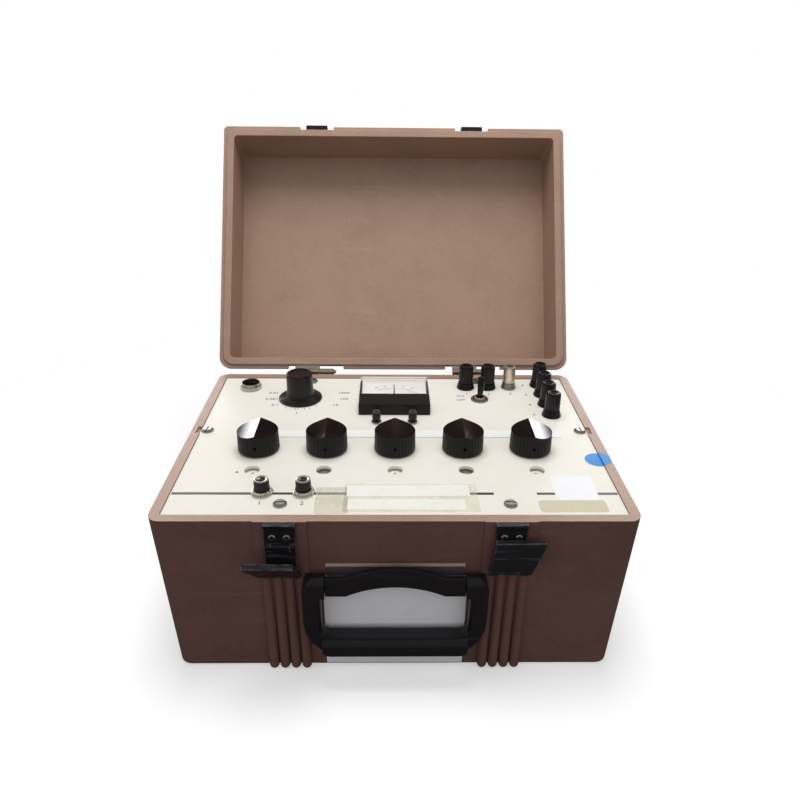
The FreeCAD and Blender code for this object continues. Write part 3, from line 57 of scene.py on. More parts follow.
MM = 0.001
TAU = 2 * math.pi
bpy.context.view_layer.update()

PANEL_LOW, PANEL_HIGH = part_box("panel")
PANEL_TOP = PANEL_HIGH.z
PRINT_T = 0.05 * MM
DECADES = 5
POSTS = 7
METAL_POST = 3
POST_R = 6.3 * MM
FOOT_R = 7.8 * MM
KEYS = ("battery_key", "detector_key")
STRIPES = ((-150.4, 66.5), (95.7, 150.6))
WELD = 0.004 * MM
FLAT = math.radians(0.6)
SHEET_T = 0.08 * MM

RATIO_FIGURE_H = 5.0 * MM
TOGGLE_FIGURE_H = 4.4 * MM
POST_FIGURE_H = 4.8 * MM
DIAL_FIGURE_H = 7.0 * MM
SCALE_FIGURE_H = 3.0 * MM
TOGGLE_FIGURE_LEFT = 16.0 * MM
KEY_FIGURE_DOWN = 12.2 * MM
POST_FIGURE_DOWN = 13.0 * MM
POST_FIGURE_LEFT = 14.0 * MM
DIAL_FIGURES = 11
DIAL_STEP = 30
STICKER_RADII = (9.4 * MM, 9.1 * MM)
STICKER_PLACE = (149.0 * MM, -36.0 * MM)

FLOOR_R = 1.6
FLOOR_FADE = (0.24, 0.62)
FLOOR_GLOW = 0.36
LAMP_PLACE = (0, 0.1, 1.0)
LAMP_SIZE = 0.6
PATCH_X = 0.46
PATCH_Y = 0.86
PATCH_Z = 0.22
PATCH_EDGE = math.radians(19)
PATCH_CORE = math.radians(8)
RATIO_TICKS = (240, 264, 270, 285, 297, 315)
RATIO_FIGURES = (("0.01", -24.4, 10.2), ("0.001", -24.4, -1.6), ("0.1", -20.1, -13.0), ("1", -0.4, -27.5),
                 ("1000", 36.5, 10.6), ("100", 37.2, -1.2), ("10", 30.7, -12.6))
CARD_SPLIT = 84.2 * MM
CASE_HALF_D = 112.5 * MM
LATCH_HEAD_R = 1.7 * MM
WALL_LEAN = math.atan2(4.5, 129.0)
LID_HINGE = Vector((0, 119.0, 128.8)) * MM
LID_SWING = math.radians(120.4)
LID_MIDDLE = Vector((0, -119.0, 24.0)) * MM
LID_FLANGE_T = 9.0 * MM
LID_INNER_H = 48.0 * MM


def shade(red, green, blue):
    """A colour given as it looks on a screen, from 0 to 255, as linear light."""
    def linear(value):
        part = value / 255
        return part / 12.92 if part <= 0.04045 else ((part + 0.055) / 1.055) ** 2.4
    return (linear(red), linear(green), linear(blue))


def colour_setting(name, about, *screen):
    """A colour setting, its default given as it looks on a screen."""
    return bpy.props.FloatVectorProperty(name=name, description=about, subtype="COLOR",
                                         default=shade(*screen), min=0, max=1)


def length_setting(name, about, size):
    """A length setting in metres."""
    return bpy.props.FloatProperty(name=name, description=about, default=size, unit="LENGTH")


def angle_setting(name, about, degrees):
    """An angle setting, its default given in degrees."""
    return bpy.props.FloatProperty(name=name, description=about, subtype="ANGLE",
                                   default=math.radians(degrees))


def plain_setting(name, about, value):
    """A setting that is a bare number."""
    return bpy.props.FloatProperty(name=name, description=about, default=value)


def middle(node):
    """The middle of a node's box."""
    low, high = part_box(node)
    return (low + high) / 2


def upright(node):
    """The middle, radius, bottom and top of a round node's box."""
    low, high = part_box(node)
    return (low + high) / 2, (high.x - low.x) / 2, low.z, high.z


class CaseSettings(bpy.types.PropertyGroup):
    """Finish of the moulded case."""

    colour: colour_setting("Plastic", "Colour of the moulded case", 167, 137, 119)
    # The walls colour is the case plastic darkened: painted shade on the outer walls, which the light from
    # above misses.
    walls: colour_setting("Walls", "Colour of the textured outer walls", 112, 79, 72)
    edge: length_setting("Edge", "Radius of the moulded edges", 0.7 * MM)
    grain: length_setting("Grain", "Size of one grain of the moulded surface", 0.9 * MM)


class PanelSettings(bpy.types.PropertyGroup):
    """Enamel and print of the instrument panel."""

    enamel: colour_setting("Enamel", "Colour of the panel", 243, 239, 230)
    ink: colour_setting("Ink", "Colour of the printed marks", 52, 48, 46)
    stripe_y: length_setting("Stripe place", "Where the stripe lies, front to back", -80.0 * MM)
    stripe_w: length_setting("Stripe width", "Width of the printed stripe", 2.7 * MM)
    figure: length_setting("Figures", "Height of the small printed figures", 5.6 * MM)


class KnobSettings(bpy.types.PropertyGroup):
    """Shape of the decade knobs and the ratio knob."""

    flutes: bpy.props.IntProperty(name="Flutes", description="Grooves round a decade knob",
                                  default=36, min=12)
    flute_depth: length_setting("Flute depth", "Depth of a groove", 0.45 * MM)
    ridge: length_setting("Ridge", "Height of the ridge above the rim", 2.6 * MM)
    black: colour_setting("Black", "Colour of the knobs", 17, 12, 16)


class MetalSettings(bpy.types.PropertyGroup):
    """Colours of the metal parts."""

    nickel: colour_setting("Nickel", "Colour of the bright parts", 206, 198, 184)
    steel: colour_setting("Steel", "Colour of screws and nuts", 168, 168, 162)
    latch: colour_setting("Latch paint", "Colour of the latches", 30, 28, 32)


class StageSettings(bpy.types.PropertyGroup):
    """Camera and light."""

    place: bpy.props.FloatVectorProperty(name="Camera", description="Where the camera stands",
                                         subtype="TRANSLATION", default=(-0.00521, -0.47485, 0.39479))
    pitch: angle_setting("Pitch", "How far the camera looks down", 26.42)
    yaw: angle_setting("Yaw", "How far the camera looks to the right", 1.09)
    roll: angle_setting("Roll", "How far the camera leans", 0.66)
    lens: plain_setting("Lens", "Focal length in millimetres on a 36 mm sensor", 31.49)
    overhead: plain_setting("Overhead light", "Watts of the lamp above", 5.4)
    ambient: plain_setting("Room light", "Strength of the light from all round", 0.15)
    window: plain_setting("Front light", "Strength of the light from the front", 0.6)
    highlight: plain_setting("Highlights", "Strength of the two bright patches", 9.0)


SETTINGS = {"bridge_case": CaseSettings, "bridge_panel": PanelSettings, "bridge_knobs": KnobSettings,
            "bridge_metal": MetalSettings, "bridge_stage": StageSettings}


# Modelling helpers


def deselect():
    """Nothing is selected after this."""
    bpy.ops.object.select_all(action="DESELECT")


def choose(piece):
    """Makes a piece the only selected one."""
    deselect()
    piece.hide_set(False)
    piece.select_set(True)
    bpy.context.view_layer.objects.active = piece


def editing(piece):
    """Opens a piece in edit mode, all selected, by vertices."""
    choose(piece)
    bpy.ops.object.mode_set(mode="EDIT")
    bpy.ops.mesh.select_mode(type="VERT")
    bpy.ops.mesh.select_all(action="SELECT")


def done():
    """Back to object mode."""
    bpy.ops.object.mode_set(mode="OBJECT")


def closed_up():
    """Turns every face outwards and leaves edit mode."""
    bpy.ops.mesh.select_all(action="SELECT")
    bpy.ops.mesh.normals_make_consistent(inside=False)
    done()


def pulled(x, y, z):
    """Extrudes what is selected by a step."""
    bpy.ops.mesh.extrude_region_move(TRANSFORM_OT_translate={"value": (x, y, z)})


def pick(piece, test):
    """Selects the vertices that pass a test, in edit mode."""
    bpy.ops.mesh.select_mode(type="VERT")
    bpy.ops.mesh.select_all(action="DESELECT")
    mesh = bmesh.from_edit_mesh(piece.data)
    for vertex in mesh.verts:
        vertex.select = bool(test(vertex.co))
    mesh.select_flush_mode()
    bmesh.update_edit_mesh(piece.data)


def named(name):
    """Names the piece that was just added."""
    piece = bpy.context.active_object
    piece.name = name
    piece.data.name = name
    return piece


def applied(piece, kind, **settings):
    """Adds a modifier to a piece and applies it."""
    choose(piece)
    modifier = piece.modifiers.new(kind.lower(), kind)
    for key, value in settings.items():
        setattr(modifier, key, value)
    bpy.ops.object.modifier_apply(modifier=modifier.name)
    return piece


def moved(piece, x=0.0, y=0.0, z=0.0, turn=0.0):
    """Turns a piece about the upright through the origin, then moves it, all in its mesh."""
    piece.data.transform(Matrix.Translation((x, y, z)) @ Matrix.Rotation(turn, 4, "Z"))
    return piece


def twin(piece, name, x, y):
    """A copy of a piece with its own mesh, moved."""
    copy = piece.copy()
    copy.data = piece.data.copy()
    copy.name = name
    copy.data.name = name
    bpy.context.scene.collection.objects.link(copy)
    return moved(copy, x, y)


def rounded(piece, width, segments, angle):
    """Rounds the edges that are sharper than an angle."""
    applied(piece, "BEVEL", width=width, segments=segments, limit_method="ANGLE",
            angle_limit=math.radians(angle), use_clamp_overlap=True)
    return piece


def smoothed(piece, angle=38.0):
    """Shades a piece smooth and keeps its flat faces flat."""
    choose(piece)
    bpy.ops.object.shade_smooth_by_angle(angle=math.radians(angle))
    applied(piece, "WEIGHTED_NORMAL", keep_sharp=True)
    return piece


def cut(piece, cutter):
    """Takes one shape out of another."""
    applied(piece, "BOOLEAN", operation="DIFFERENCE", solver="EXACT", object=cutter)
    bpy.data.objects.remove(cutter)
    return piece


def merged(pieces, name):
    """Several pieces as one."""
    deselect()
    for piece in pieces:
        piece.select_set(True)
    bpy.context.view_layer.objects.active = pieces[0]
    bpy.ops.object.join()
    return named(name)


def ring_body(name, rings, sides):
    """A closed body built ring by ring from (radius, z) pairs, upwards about the origin."""
    deselect()
    radius, height = rings[0]
    bpy.ops.mesh.primitive_circle_add(vertices=sides, radius=radius, fill_type="NGON")
    piece = named(name)
    editing(piece)
    bpy.ops.transform.translate(value=(0, 0, height))
    for next_radius, next_height in rings[1:]:
        pulled(0, 0, next_height - height)
        share = next_radius / radius
        bpy.ops.transform.resize(value=(share, share, 1), center_override=(0, 0, next_height))
        radius, height = next_radius, next_height
    closed_up()
    return piece


def turned(name, outline, sides, closed=True):
    """A body spun about the origin from (radius, z) points; closed joins the last point to the first."""
    deselect()
    bpy.ops.mesh.primitive_plane_add(size=1 * MM)
    piece = named(name)
    editing(piece)
    bpy.ops.mesh.merge(type="CENTER")
    radius, height = outline[0]
    bpy.ops.transform.translate(value=(radius, 0, height))
    for next_radius, next_height in outline[1:] + ([outline[0]] if closed else []):
        pulled(next_radius - radius, 0, next_height - height)
        radius, height = next_radius, next_height
    bpy.ops.mesh.select_all(action="SELECT")
    bpy.ops.mesh.spin(steps=sides, angle=TAU, center=(0, 0, 0), axis=(0, 0, 1))
    bpy.ops.mesh.select_all(action="SELECT")
    bpy.ops.mesh.remove_doubles(threshold=WELD)
    closed_up()
    return piece


def block(name, x0, x1, y0, y1, z0, z1):
    """A block between two corners, its place in its mesh."""
    deselect()
    bpy.ops.mesh.primitive_cube_add(size=1)
    piece = named(name)
    piece.data.transform(Matrix.Translation(((x0 + x1) / 2, (y0 + y1) / 2, (z0 + z1) / 2))
                         @ Matrix.Diagonal((x1 - x0, y1 - y0, z1 - z0, 1)))
    return piece


def leaf(name, width, depth, corner):
    """A flat sheet with round corners, lying on z = 0 about the origin."""
    deselect()
    bpy.ops.mesh.primitive_plane_add(size=1)
    piece = named(name)
    editing(piece)
    bpy.ops.transform.resize(value=(width, depth, 1))
    bpy.ops.mesh.bevel(affect="VERTICES", offset=corner, segments=4)
    pulled(0, 0, SHEET_T)
    closed_up()
    return piece


def print_bar(x0, x1, y0, y1, z):
    """A thin printed bar."""
    return block("bar", x0, x1, y0, y1, z, z + PRINT_T)


def printed_arc(name, radius, width, start, sweep, x, y, z, steps):
    """A thin printed arc about an upright axis."""
    bar = block(name, radius - width / 2, radius + width / 2, -0.01 * MM, 0.01 * MM, 0, PRINT_T)
    editing(bar)
    pick(bar, lambda co: co.y > 0)
    bpy.ops.mesh.delete(type="VERT")
    bpy.ops.mesh.select_all(action="SELECT")
    bpy.ops.mesh.edge_face_add()
    bpy.ops.mesh.spin(steps=steps, angle=sweep, center=(0, 0, 0), axis=(0, 0, 1))
    bpy.ops.mesh.select_all(action="SELECT")
    bpy.ops.mesh.remove_doubles(threshold=0.001 * MM)
    closed_up()
    return moved(bar, x, y, z, start)


def figure(text, size, x, y, z, turn=0.0):
    """A printed number or mark, as a thin mesh."""
    deselect()
    bpy.ops.object.text_add()
    piece = bpy.context.active_object
    piece.data.body = text
    piece.data.size = size
    piece.data.align_x = "CENTER"
    piece.data.align_y = "CENTER"
    piece.data.resolution_u = 2
    piece.data.extrude = PRINT_T / 2
    bpy.ops.object.convert(target="MESH")
    return moved(bpy.context.active_object, x, y, z + PRINT_T / 2, turn)


def points(radius, level, *offsets):
    """(radius, height) points, each so many millimetres out from a radius and up from a level."""
    return [(radius + out * MM, level + up * MM) for out, up in offsets]


def bored(piece, radius, low, high, sides=40):
    """Cuts an upright hole about the origin."""
    return cut(piece, ring_body("bore", [(radius, low), (radius, high)], sides))


def lying_rod(name, radius, length, sides):
    """A rod about the origin that lies front to back."""
    deselect()
    bpy.ops.mesh.primitive_cylinder_add(vertices=sides, radius=radius, depth=length,
                                        rotation=(math.pi / 2, 0, 0))
    rod = named(name)
    bpy.ops.object.transform_apply(rotation=True)
    return rod


def fluted(piece, low, high, sides, every, share, reach=0.0):
    """Presses one in every few corners inwards, between two heights and outside a radius."""
    def in_groove(co):
        step = round(math.atan2(co.y, co.x) / TAU * sides)
        return low < co.z < high and co.xy.length > reach and step % every == 0

    editing(piece)
    pick(piece, in_groove)
    bpy.ops.transform.resize(value=(share, share, 1), center_override=(0, 0, 0))
    done()


def welded(node, name):
    """A copy of a CAD node, its loose triangles joined into clean faces."""
    mesh = NODES[node].data.copy()
    mesh.name = name
    piece = bpy.data.objects.new(name, mesh)
    bpy.context.scene.collection.objects.link(piece)
    editing(piece)
    bpy.ops.mesh.remove_doubles(threshold=WELD)
    bpy.ops.mesh.customdata_custom_splitnormals_clear()
    bpy.ops.mesh.dissolve_limited(angle_limit=FLAT)
    done()
    return piece


def dressed(node, name, edge, angle, segments):
    """A CAD node's copy with soft edges."""
    return smoothed(rounded(welded(node, name), edge, segments, angle))


def second_finish(piece, material, test):
    """Gives the faces that pass a test another finish."""
    piece.data.materials.append(material)
    for face in piece.data.polygons:
        if test(face.center, face.normal):
            face.material_index = 1


def finished(piece, material, body, slot, *nodes):
    """Gives a piece its material, the body that it moves with and its slot."""
    piece.data.materials.clear()
    piece.data.materials.append(material)
    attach(piece, body)
    if nodes:
        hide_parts(*nodes)
    return piece


def outfit(node, name, finish, body, slot, edge, angle=40.0, segments=2):
    """A CAD node's copy with soft edges, finished."""
    return finished(dressed(node, name, edge, angle, segments), m(finish), body, slot, node)


def stood(piece, place, angle, finish, body, slot, *nodes):
    """Moves a piece made about the origin to its place, smooths it and finishes it."""
    smoothed(moved(piece, place.x, place.y), angle)
    return finished(piece, m(finish), body, slot, *nodes)


# Shader helpers


class Graph:
    """Places shader nodes in a tree and joins them."""

    def __init__(self, tree):
        self.tree = tree

    def put(self, socket, value):
        """Links a socket or sets its value."""
        if isinstance(value, bpy.types.NodeSocket):
            self.tree.links.new(value, socket)
        else:
            socket.default_value = value

    def add(self, kind, settings=None, **inputs):
        """Adds a node, with its own settings and its named inputs."""
        node = self.tree.nodes.new(kind)
        for key, value in (settings or {}).items():
            setattr(node, key, value)
        for key, value in inputs.items():
            self.put(node.inputs[key.replace("_", " ").title()], value)
        return node

    def place(self):
        """Object coordinates."""
        return self.add("ShaderNodeTexCoord").outputs["Object"]

    def stretched(self, vector, scale):
        """Coordinates stretched along each axis."""
        node = self.add("ShaderNodeMapping")
        self.put(node.inputs["Vector"], vector)
        self.put(node.inputs["Scale"], scale)
        return node.outputs["Vector"]

    def noise(self, vector, scale, detail=3.0, roughness=0.55):
        """Soft random values."""
        node = self.add("ShaderNodeTexNoise", vector=vector, scale=scale, detail=detail,
                        roughness=roughness)
        return node.outputs["Fac"]

    def reckon(self, operation, first, second):
        """One step of arithmetic."""
        node = self.add("ShaderNodeMath", {"operation": operation})
        self.put(node.inputs[0], first)
        self.put(node.inputs[1], second)
        return node.outputs[0]

    def plus(self, first, second):
        """The sum of two values."""
        return self.reckon("ADD", first, second)

    def times(self, first, second):
        """The product of two values."""
        return self.reckon("MULTIPLY", first, second)

    def less(self, first, second):
        """The first value without the second."""
        return self.reckon("SUBTRACT", first, second)

    def spread(self, value, low, high, to_low=0.0, to_high=1.0):
        """A value spread from one range to another."""
        node = self.add("ShaderNodeMapRange")
        for key, item in (("Value", value), ("From Min", low), ("From Max", high),
                          ("To Min", to_low), ("To Max", to_high)):
            self.put(node.inputs[key], item)
        return node.outputs["Result"]

    def blend(self, mask, first, second):
        """Two colours mixed by a mask."""
        node = self.add("ShaderNodeMix", {"data_type": "RGBA"})
        self.put(node.inputs[0], mask)
        for index, value in ((6, first), (7, second)):
            linked = isinstance(value, bpy.types.NodeSocket)
            self.put(node.inputs[index], value if linked else (*value, 1.0))
        return node.outputs[2]

    def effect(self, group, **inputs):
        """One of the shared effects."""
        return self.add("ShaderNodeGroup", {"node_tree": group}, **inputs).outputs

    def relief(self, height, strength, distance):
        """A normal from a height."""
        node = self.add("ShaderNodeBump")
        self.put(node.inputs["Strength"], strength)
        self.put(node.inputs["Distance"], distance)
        self.put(node.inputs["Height"], height)
        return node.outputs["Normal"]


def effect_group(name, inputs, outputs):
    """An empty shared effect with its sockets."""
    tree = bpy.data.node_groups.new(name, "ShaderNodeTree")
    for socket, default in inputs:
        made = tree.interface.new_socket(name=socket, in_out="INPUT", socket_type="NodeSocketFloat")
        made.default_value = default
    for socket in outputs:
        tree.interface.new_socket(name=socket, in_out="OUTPUT", socket_type="NodeSocketFloat")
    graph = Graph(tree)
    return tree, graph, graph.add("NodeGroupInput").outputs, graph.add("NodeGroupOutput").inputs


def grain_effect():
    """Fine moulded grain: a height and a light and dark speckle."""
    tree, g, given, result = effect_group("moulded_grain", [("Scale", 1100.0)], ["Height", "Speckle"])
    place = g.place()
    pebble = g.add("ShaderNodeTexVoronoi", vector=place, scale=given["Scale"])
    soft = g.noise(place, g.times(given["Scale"], 0.7), 4.0, 0.6)
    g.put(result["Height"], g.plus(g.times(pebble.outputs["Distance"], 0.5), soft))
    g.put(result["Speckle"], g.spread(soft, 0.36, 0.64))
    return tree


def grime_effect():
    """Patches left by handling and age."""
    tree, g, given, result = effect_group("handling_grime", [("Scale", 22.0), ("Amount", 0.5)], ["Mask"])
    place = g.place()
    large = g.noise(place, given["Scale"], 5.0, 0.62)
    fine = g.noise(place, g.times(given["Scale"], 9.0), 3.0, 0.6)
    both = g.plus(large, g.times(g.less(fine, 0.5), 0.35))
    g.put(result["Mask"], g.times(g.spread(both, 0.44, 0.74), given["Amount"]))
    return tree


def scuff_effect():
    """Thin scratches in one direction, thicker in some patches than in others."""
    given = [("Scale", 260.0), ("Along X", 0.06), ("Along Y", 1.0), ("Along Z", 1.0), ("Amount", 0.5)]
    tree, g, given, result = effect_group("scuffs", given, ["Mask"])
    pull = g.add("ShaderNodeCombineXYZ")
    for axis in "XYZ":
        g.put(pull.inputs[axis], given["Along " + axis])
    place = g.place()
    streaks = g.noise(g.stretched(place, pull.outputs["Vector"]), given["Scale"], 4.0, 0.7)
    patches = g.noise(place, 17.0, 3.0, 0.6)
    lines = g.spread(streaks, 0.56, 0.68)
    g.put(result["Mask"], g.times(g.times(lines, g.spread(patches, 0.42, 0.66)),
                                given["Amount"]))
    return tree


def wear_effect():
    """Worn edges, found where a rounded normal leaves the true one."""
    tree, g, given, result = effect_group("edge_wear", [("Radius", 1.0 * MM), ("Amount", 0.6)], ["Mask"])
    soft = g.add("ShaderNodeBevel", {"samples": 4})
    g.put(soft.inputs["Radius"], given["Radius"])
    true = g.add("ShaderNodeNewGeometry").outputs["Normal"]
    match = g.add("ShaderNodeVectorMath", {"operation": "DOT_PRODUCT"})
    g.put(match.inputs[0], soft.outputs["Normal"])
    g.put(match.inputs[1], true)
    edge = g.spread(match.outputs["Value"], 0.985, 0.9)
    patch = g.spread(g.noise(g.place(), 240.0, 4.0, 0.6), 0.42, 0.6)
    g.put(result["Mask"], g.times(g.times(edge, patch), given["Amount"]))
    return tree


def brushed_effect():
    """Fine parallel lines of drawn or brushed metal."""
    tree, g, given, result = effect_group("brushed_lines", [("Scale", 900.0), ("Along Z", 0.05)],
                                          ["Height", "Tone"])
    pull = g.add("ShaderNodeCombineXYZ", x=1.0, y=1.0)
    g.put(pull.inputs["Z"], given["Along Z"])
    lines = g.noise(g.stretched(g.place(), pull.outputs["Vector"]), given["Scale"], 3.0, 0.7)
    g.put(result["Height"], lines)
    g.put(result["Tone"], g.spread(lines, 0.3, 0.7))
    return tree


EFFECTS = {}
MATERIALS = {}
SHORT_NAMES = {"ior": "IOR", "gloss": "Specular IOR Level"}
PAPER_GLOSS = 0.2


def new_material(name):
    """A material with a plain Principled shader, its graph and that shader."""
    material = bpy.data.materials.new(name)
    material.use_nodes = True
    graph = Graph(material.node_tree)
    shader = next(n for n in material.node_tree.nodes if n.type == "BSDF_PRINCIPLED")
    MATERIALS[name] = material
    return graph, shader


def set_shader(graph, shader, **inputs):
    """Sets the shader's own sockets."""
    for key, value in inputs.items():
        socket = shader.inputs[SHORT_NAMES.get(key, key.replace("_", " ").title())]
        if isinstance(value, tuple) and len(value) == 3 and socket.type == "RGBA":
            value = (*value, 1.0)
        graph.put(socket, value)


def tinted(colour, share):
    """A colour made lighter or darker."""
    return tuple(min(1.0, part * share) for part in colour)


def moulded(name, colour, scale, rough, depth, speckle=0.12, grime=0.35, scuffs=0.3, edge_and_scuff_colour=None,
            wear=0.5, gloss=0.5):
    """Moulded or painted surface with grain, grime, scuffs and worn edges."""
    g, shader = new_material(name)
    grain = g.effect(EFFECTS["grain"], scale=scale)
    dirt = g.effect(EFFECTS["grime"], scale=24.0, amount=grime)["Mask"]
    marks = g.effect(EFFECTS["scuffs"], amount=scuffs)["Mask"]
    base = g.blend(grain["Speckle"], tinted(colour, 1 - speckle), tinted(colour, 1 + speckle))
    base = g.blend(dirt, base, tinted(colour, 0.62))
    base = g.blend(marks, base, tinted(colour, 1.9) if edge_and_scuff_colour is None else edge_and_scuff_colour)
    edge = g.effect(EFFECTS["wear"], radius=1.0 * MM, amount=wear)["Mask"]
    base = g.blend(edge, base, tinted(colour, 1.7) if edge_and_scuff_colour is None else edge_and_scuff_colour)
    rough_here = g.plus(g.times(marks, 0.25),
                       g.spread(grain["Speckle"], 0.0, 1.0, rough - 0.05, rough + 0.07))
    normal = g.relief(grain["Height"], depth, 0.12 * MM)
    set_shader(g, shader, base_color=base, roughness=rough_here, normal=normal, ior=1.46, gloss=gloss)
    return MATERIALS[name]


def metal(name, colour, rough, scale=900.0, along=1.0):
    """Plated or bare metal with fine lines and tarnish."""
    g, shader = new_material(name)
    lines = g.effect(EFFECTS["brushed"], scale=scale, along_z=along)
    film = g.effect(EFFECTS["grime"], scale=120.0, amount=0.35)["Mask"]
    base = g.blend(lines["Tone"], tinted(colour, 0.86), tinted(colour, 1.1))
    base = g.blend(film, base, tinted(colour, 0.42))
    rough_here = g.plus(g.times(film, 0.3),
                       g.spread(lines["Tone"], 0.0, 1.0, rough - 0.03, rough + 0.08))
    set_shader(g, shader, base_color=base, metallic=1.0, roughness=rough_here,
               normal=g.relief(lines["Height"], 0.18, 0.03 * MM))
    return MATERIALS[name]


def glossy_black(name, colour, rough, gloss=0.3):
    """Polished phenolic with a film of dust and fine wipe marks."""
    g, shader = new_material(name)
    film = g.effect(EFFECTS["grime"], scale=70.0, amount=0.3)["Mask"]
    lines = g.effect(EFFECTS["brushed"], scale=700.0, along_z=1.0)
    base = g.blend(film, colour, tinted(colour, 2.6))
    rough_here = g.plus(g.times(film, 0.25),
                       g.spread(lines["Tone"], 0.0, 1.0, rough - 0.03, rough + 0.05))
    set_shader(g, shader, base_color=base, roughness=rough_here, ior=1.5, gloss=gloss,
               normal=g.relief(lines["Height"], 0.06, 0.03 * MM))
    return MATERIALS[name]


def paper(name, colour, stain, amount, rough, alpha):
    """Paper or tape with fibres, stains and, for tape, a little see-through."""
    g, shader = new_material(name)
    fibres = g.effect(EFFECTS["grain"], scale=1900.0)
    blots = g.effect(EFFECTS["grime"], scale=60.0, amount=amount)["Mask"]
    base = g.blend(fibres["Speckle"], tinted(colour, 0.97), tinted(colour, 1.02))
    base = g.blend(blots, base, stain)
    set_shader(g, shader, base_color=base, roughness=g.spread(blots, 0.0, 1.0, rough, rough - 0.15),
               normal=g.relief(fibres["Height"], 0.1, 0.03 * MM), gloss=PAPER_GLOSS)
    if alpha is not None:
        set_shader(g, shader, alpha=g.spread(blots, 0.0, 1.0, alpha, min(1.0, alpha + 0.25)))
    return MATERIALS[name]


def enamel(name, colour):
    """Cream panel enamel, a little yellowed, with grime round what was handled."""
    g, shader = new_material(name)
    wash = g.effect(EFFECTS["grime"], scale=9.0, amount=0.55)["Mask"]
    spots = g.effect(EFFECTS["grime"], scale=85.0, amount=0.35)["Mask"]
    grain = g.effect(EFFECTS["grain"], scale=1500.0)
    marks = g.effect(EFFECTS["scuffs"], along_x=0.1, along_y=1.0, along_z=1.0, amount=0.12)["Mask"]
    yellowed = tuple(c * k for c, k in zip(colour, (0.97, 0.94, 0.88)))
    stained = tuple(c * k for c, k in zip(colour, (0.93, 0.91, 0.84)))
    base = g.blend(spots, g.blend(wash, colour, yellowed), stained)
    base = g.blend(marks, base, tinted(colour, 0.8))
    set_shader(g, shader, base_color=base, roughness=g.spread(wash, 0.0, 1.0, 0.38, 0.52),
               normal=g.relief(grain["Height"], 0.06, 0.05 * MM), ior=1.45, gloss=PAPER_GLOSS)
    return MATERIALS[name]


def clear_cover(name):
    """Clear acrylic with faint wipe marks."""
    g, shader = new_material(name)
    marks = g.effect(EFFECTS["scuffs"], along_x=0.08, along_y=1.0, along_z=1.0, amount=0.5)["Mask"]
    set_shader(g, shader, base_color=g.blend(marks, (0.97, 0.97, 0.96), (0.8, 0.8, 0.8)),
               roughness=g.spread(marks, 0.0, 1.0, 0.03, 0.3), transmission_weight=1.0, ior=1.3)
    return MATERIALS[name]


def ink(name, colour):
    """Printing ink, thin in places."""
    g, shader = new_material(name)
    thin = g.effect(EFFECTS["grime"], scale=300.0, amount=0.5)["Mask"]
    set_shader(g, shader, base_color=g.blend(thin, colour, tinted(colour, 1.8)), roughness=0.5)
    return MATERIALS[name]


def make_effects():
    """Builds each shared effect once."""
    EFFECTS.update(grain=grain_effect(), grime=grime_effect(), scuffs=scuff_effect(),
                   wear=wear_effect(), brushed=brushed_effect())


PAPERS = (("dial_disc", (238, 240, 226), (214, 218, 200), 0.4, 0.4, None),
          ("scale_card", (243, 243, 240), (228, 226, 216), 0.25, 0.45, None),
          ("tape_white", (250, 250, 248), (232, 234, 222), 0.35, 0.5, None),
          ("note_paper", (247, 246, 238), (234, 234, 214), 0.6, 0.6, None),
          ("tape_yellowed", (236, 231, 204), (224, 217, 186), 0.6, 0.4, 0.45),
          ("note_tape", (247, 243, 226), (240, 235, 212), 0.6, 0.35, 0.22),
          ("tape_clear", (236, 232, 214), (222, 220, 190), 0.5, 0.3, 0.28),
          ("label_white", (248, 248, 250), (232, 232, 232), 0.25, 0.4, None),
          ("sticker_blue", (4, 130, 206), (30, 148, 214), 0.4, 0.35, None),
          ("card_body", (250, 248, 252), (236, 232, 236), 0.4, 0.35, None),
          ("card_edge", (190, 172, 150), (160, 140, 120), 0.4, 0.4, None),
          ("card_head", (84, 74, 82), (98, 88, 94), 0.6, 0.3, None))


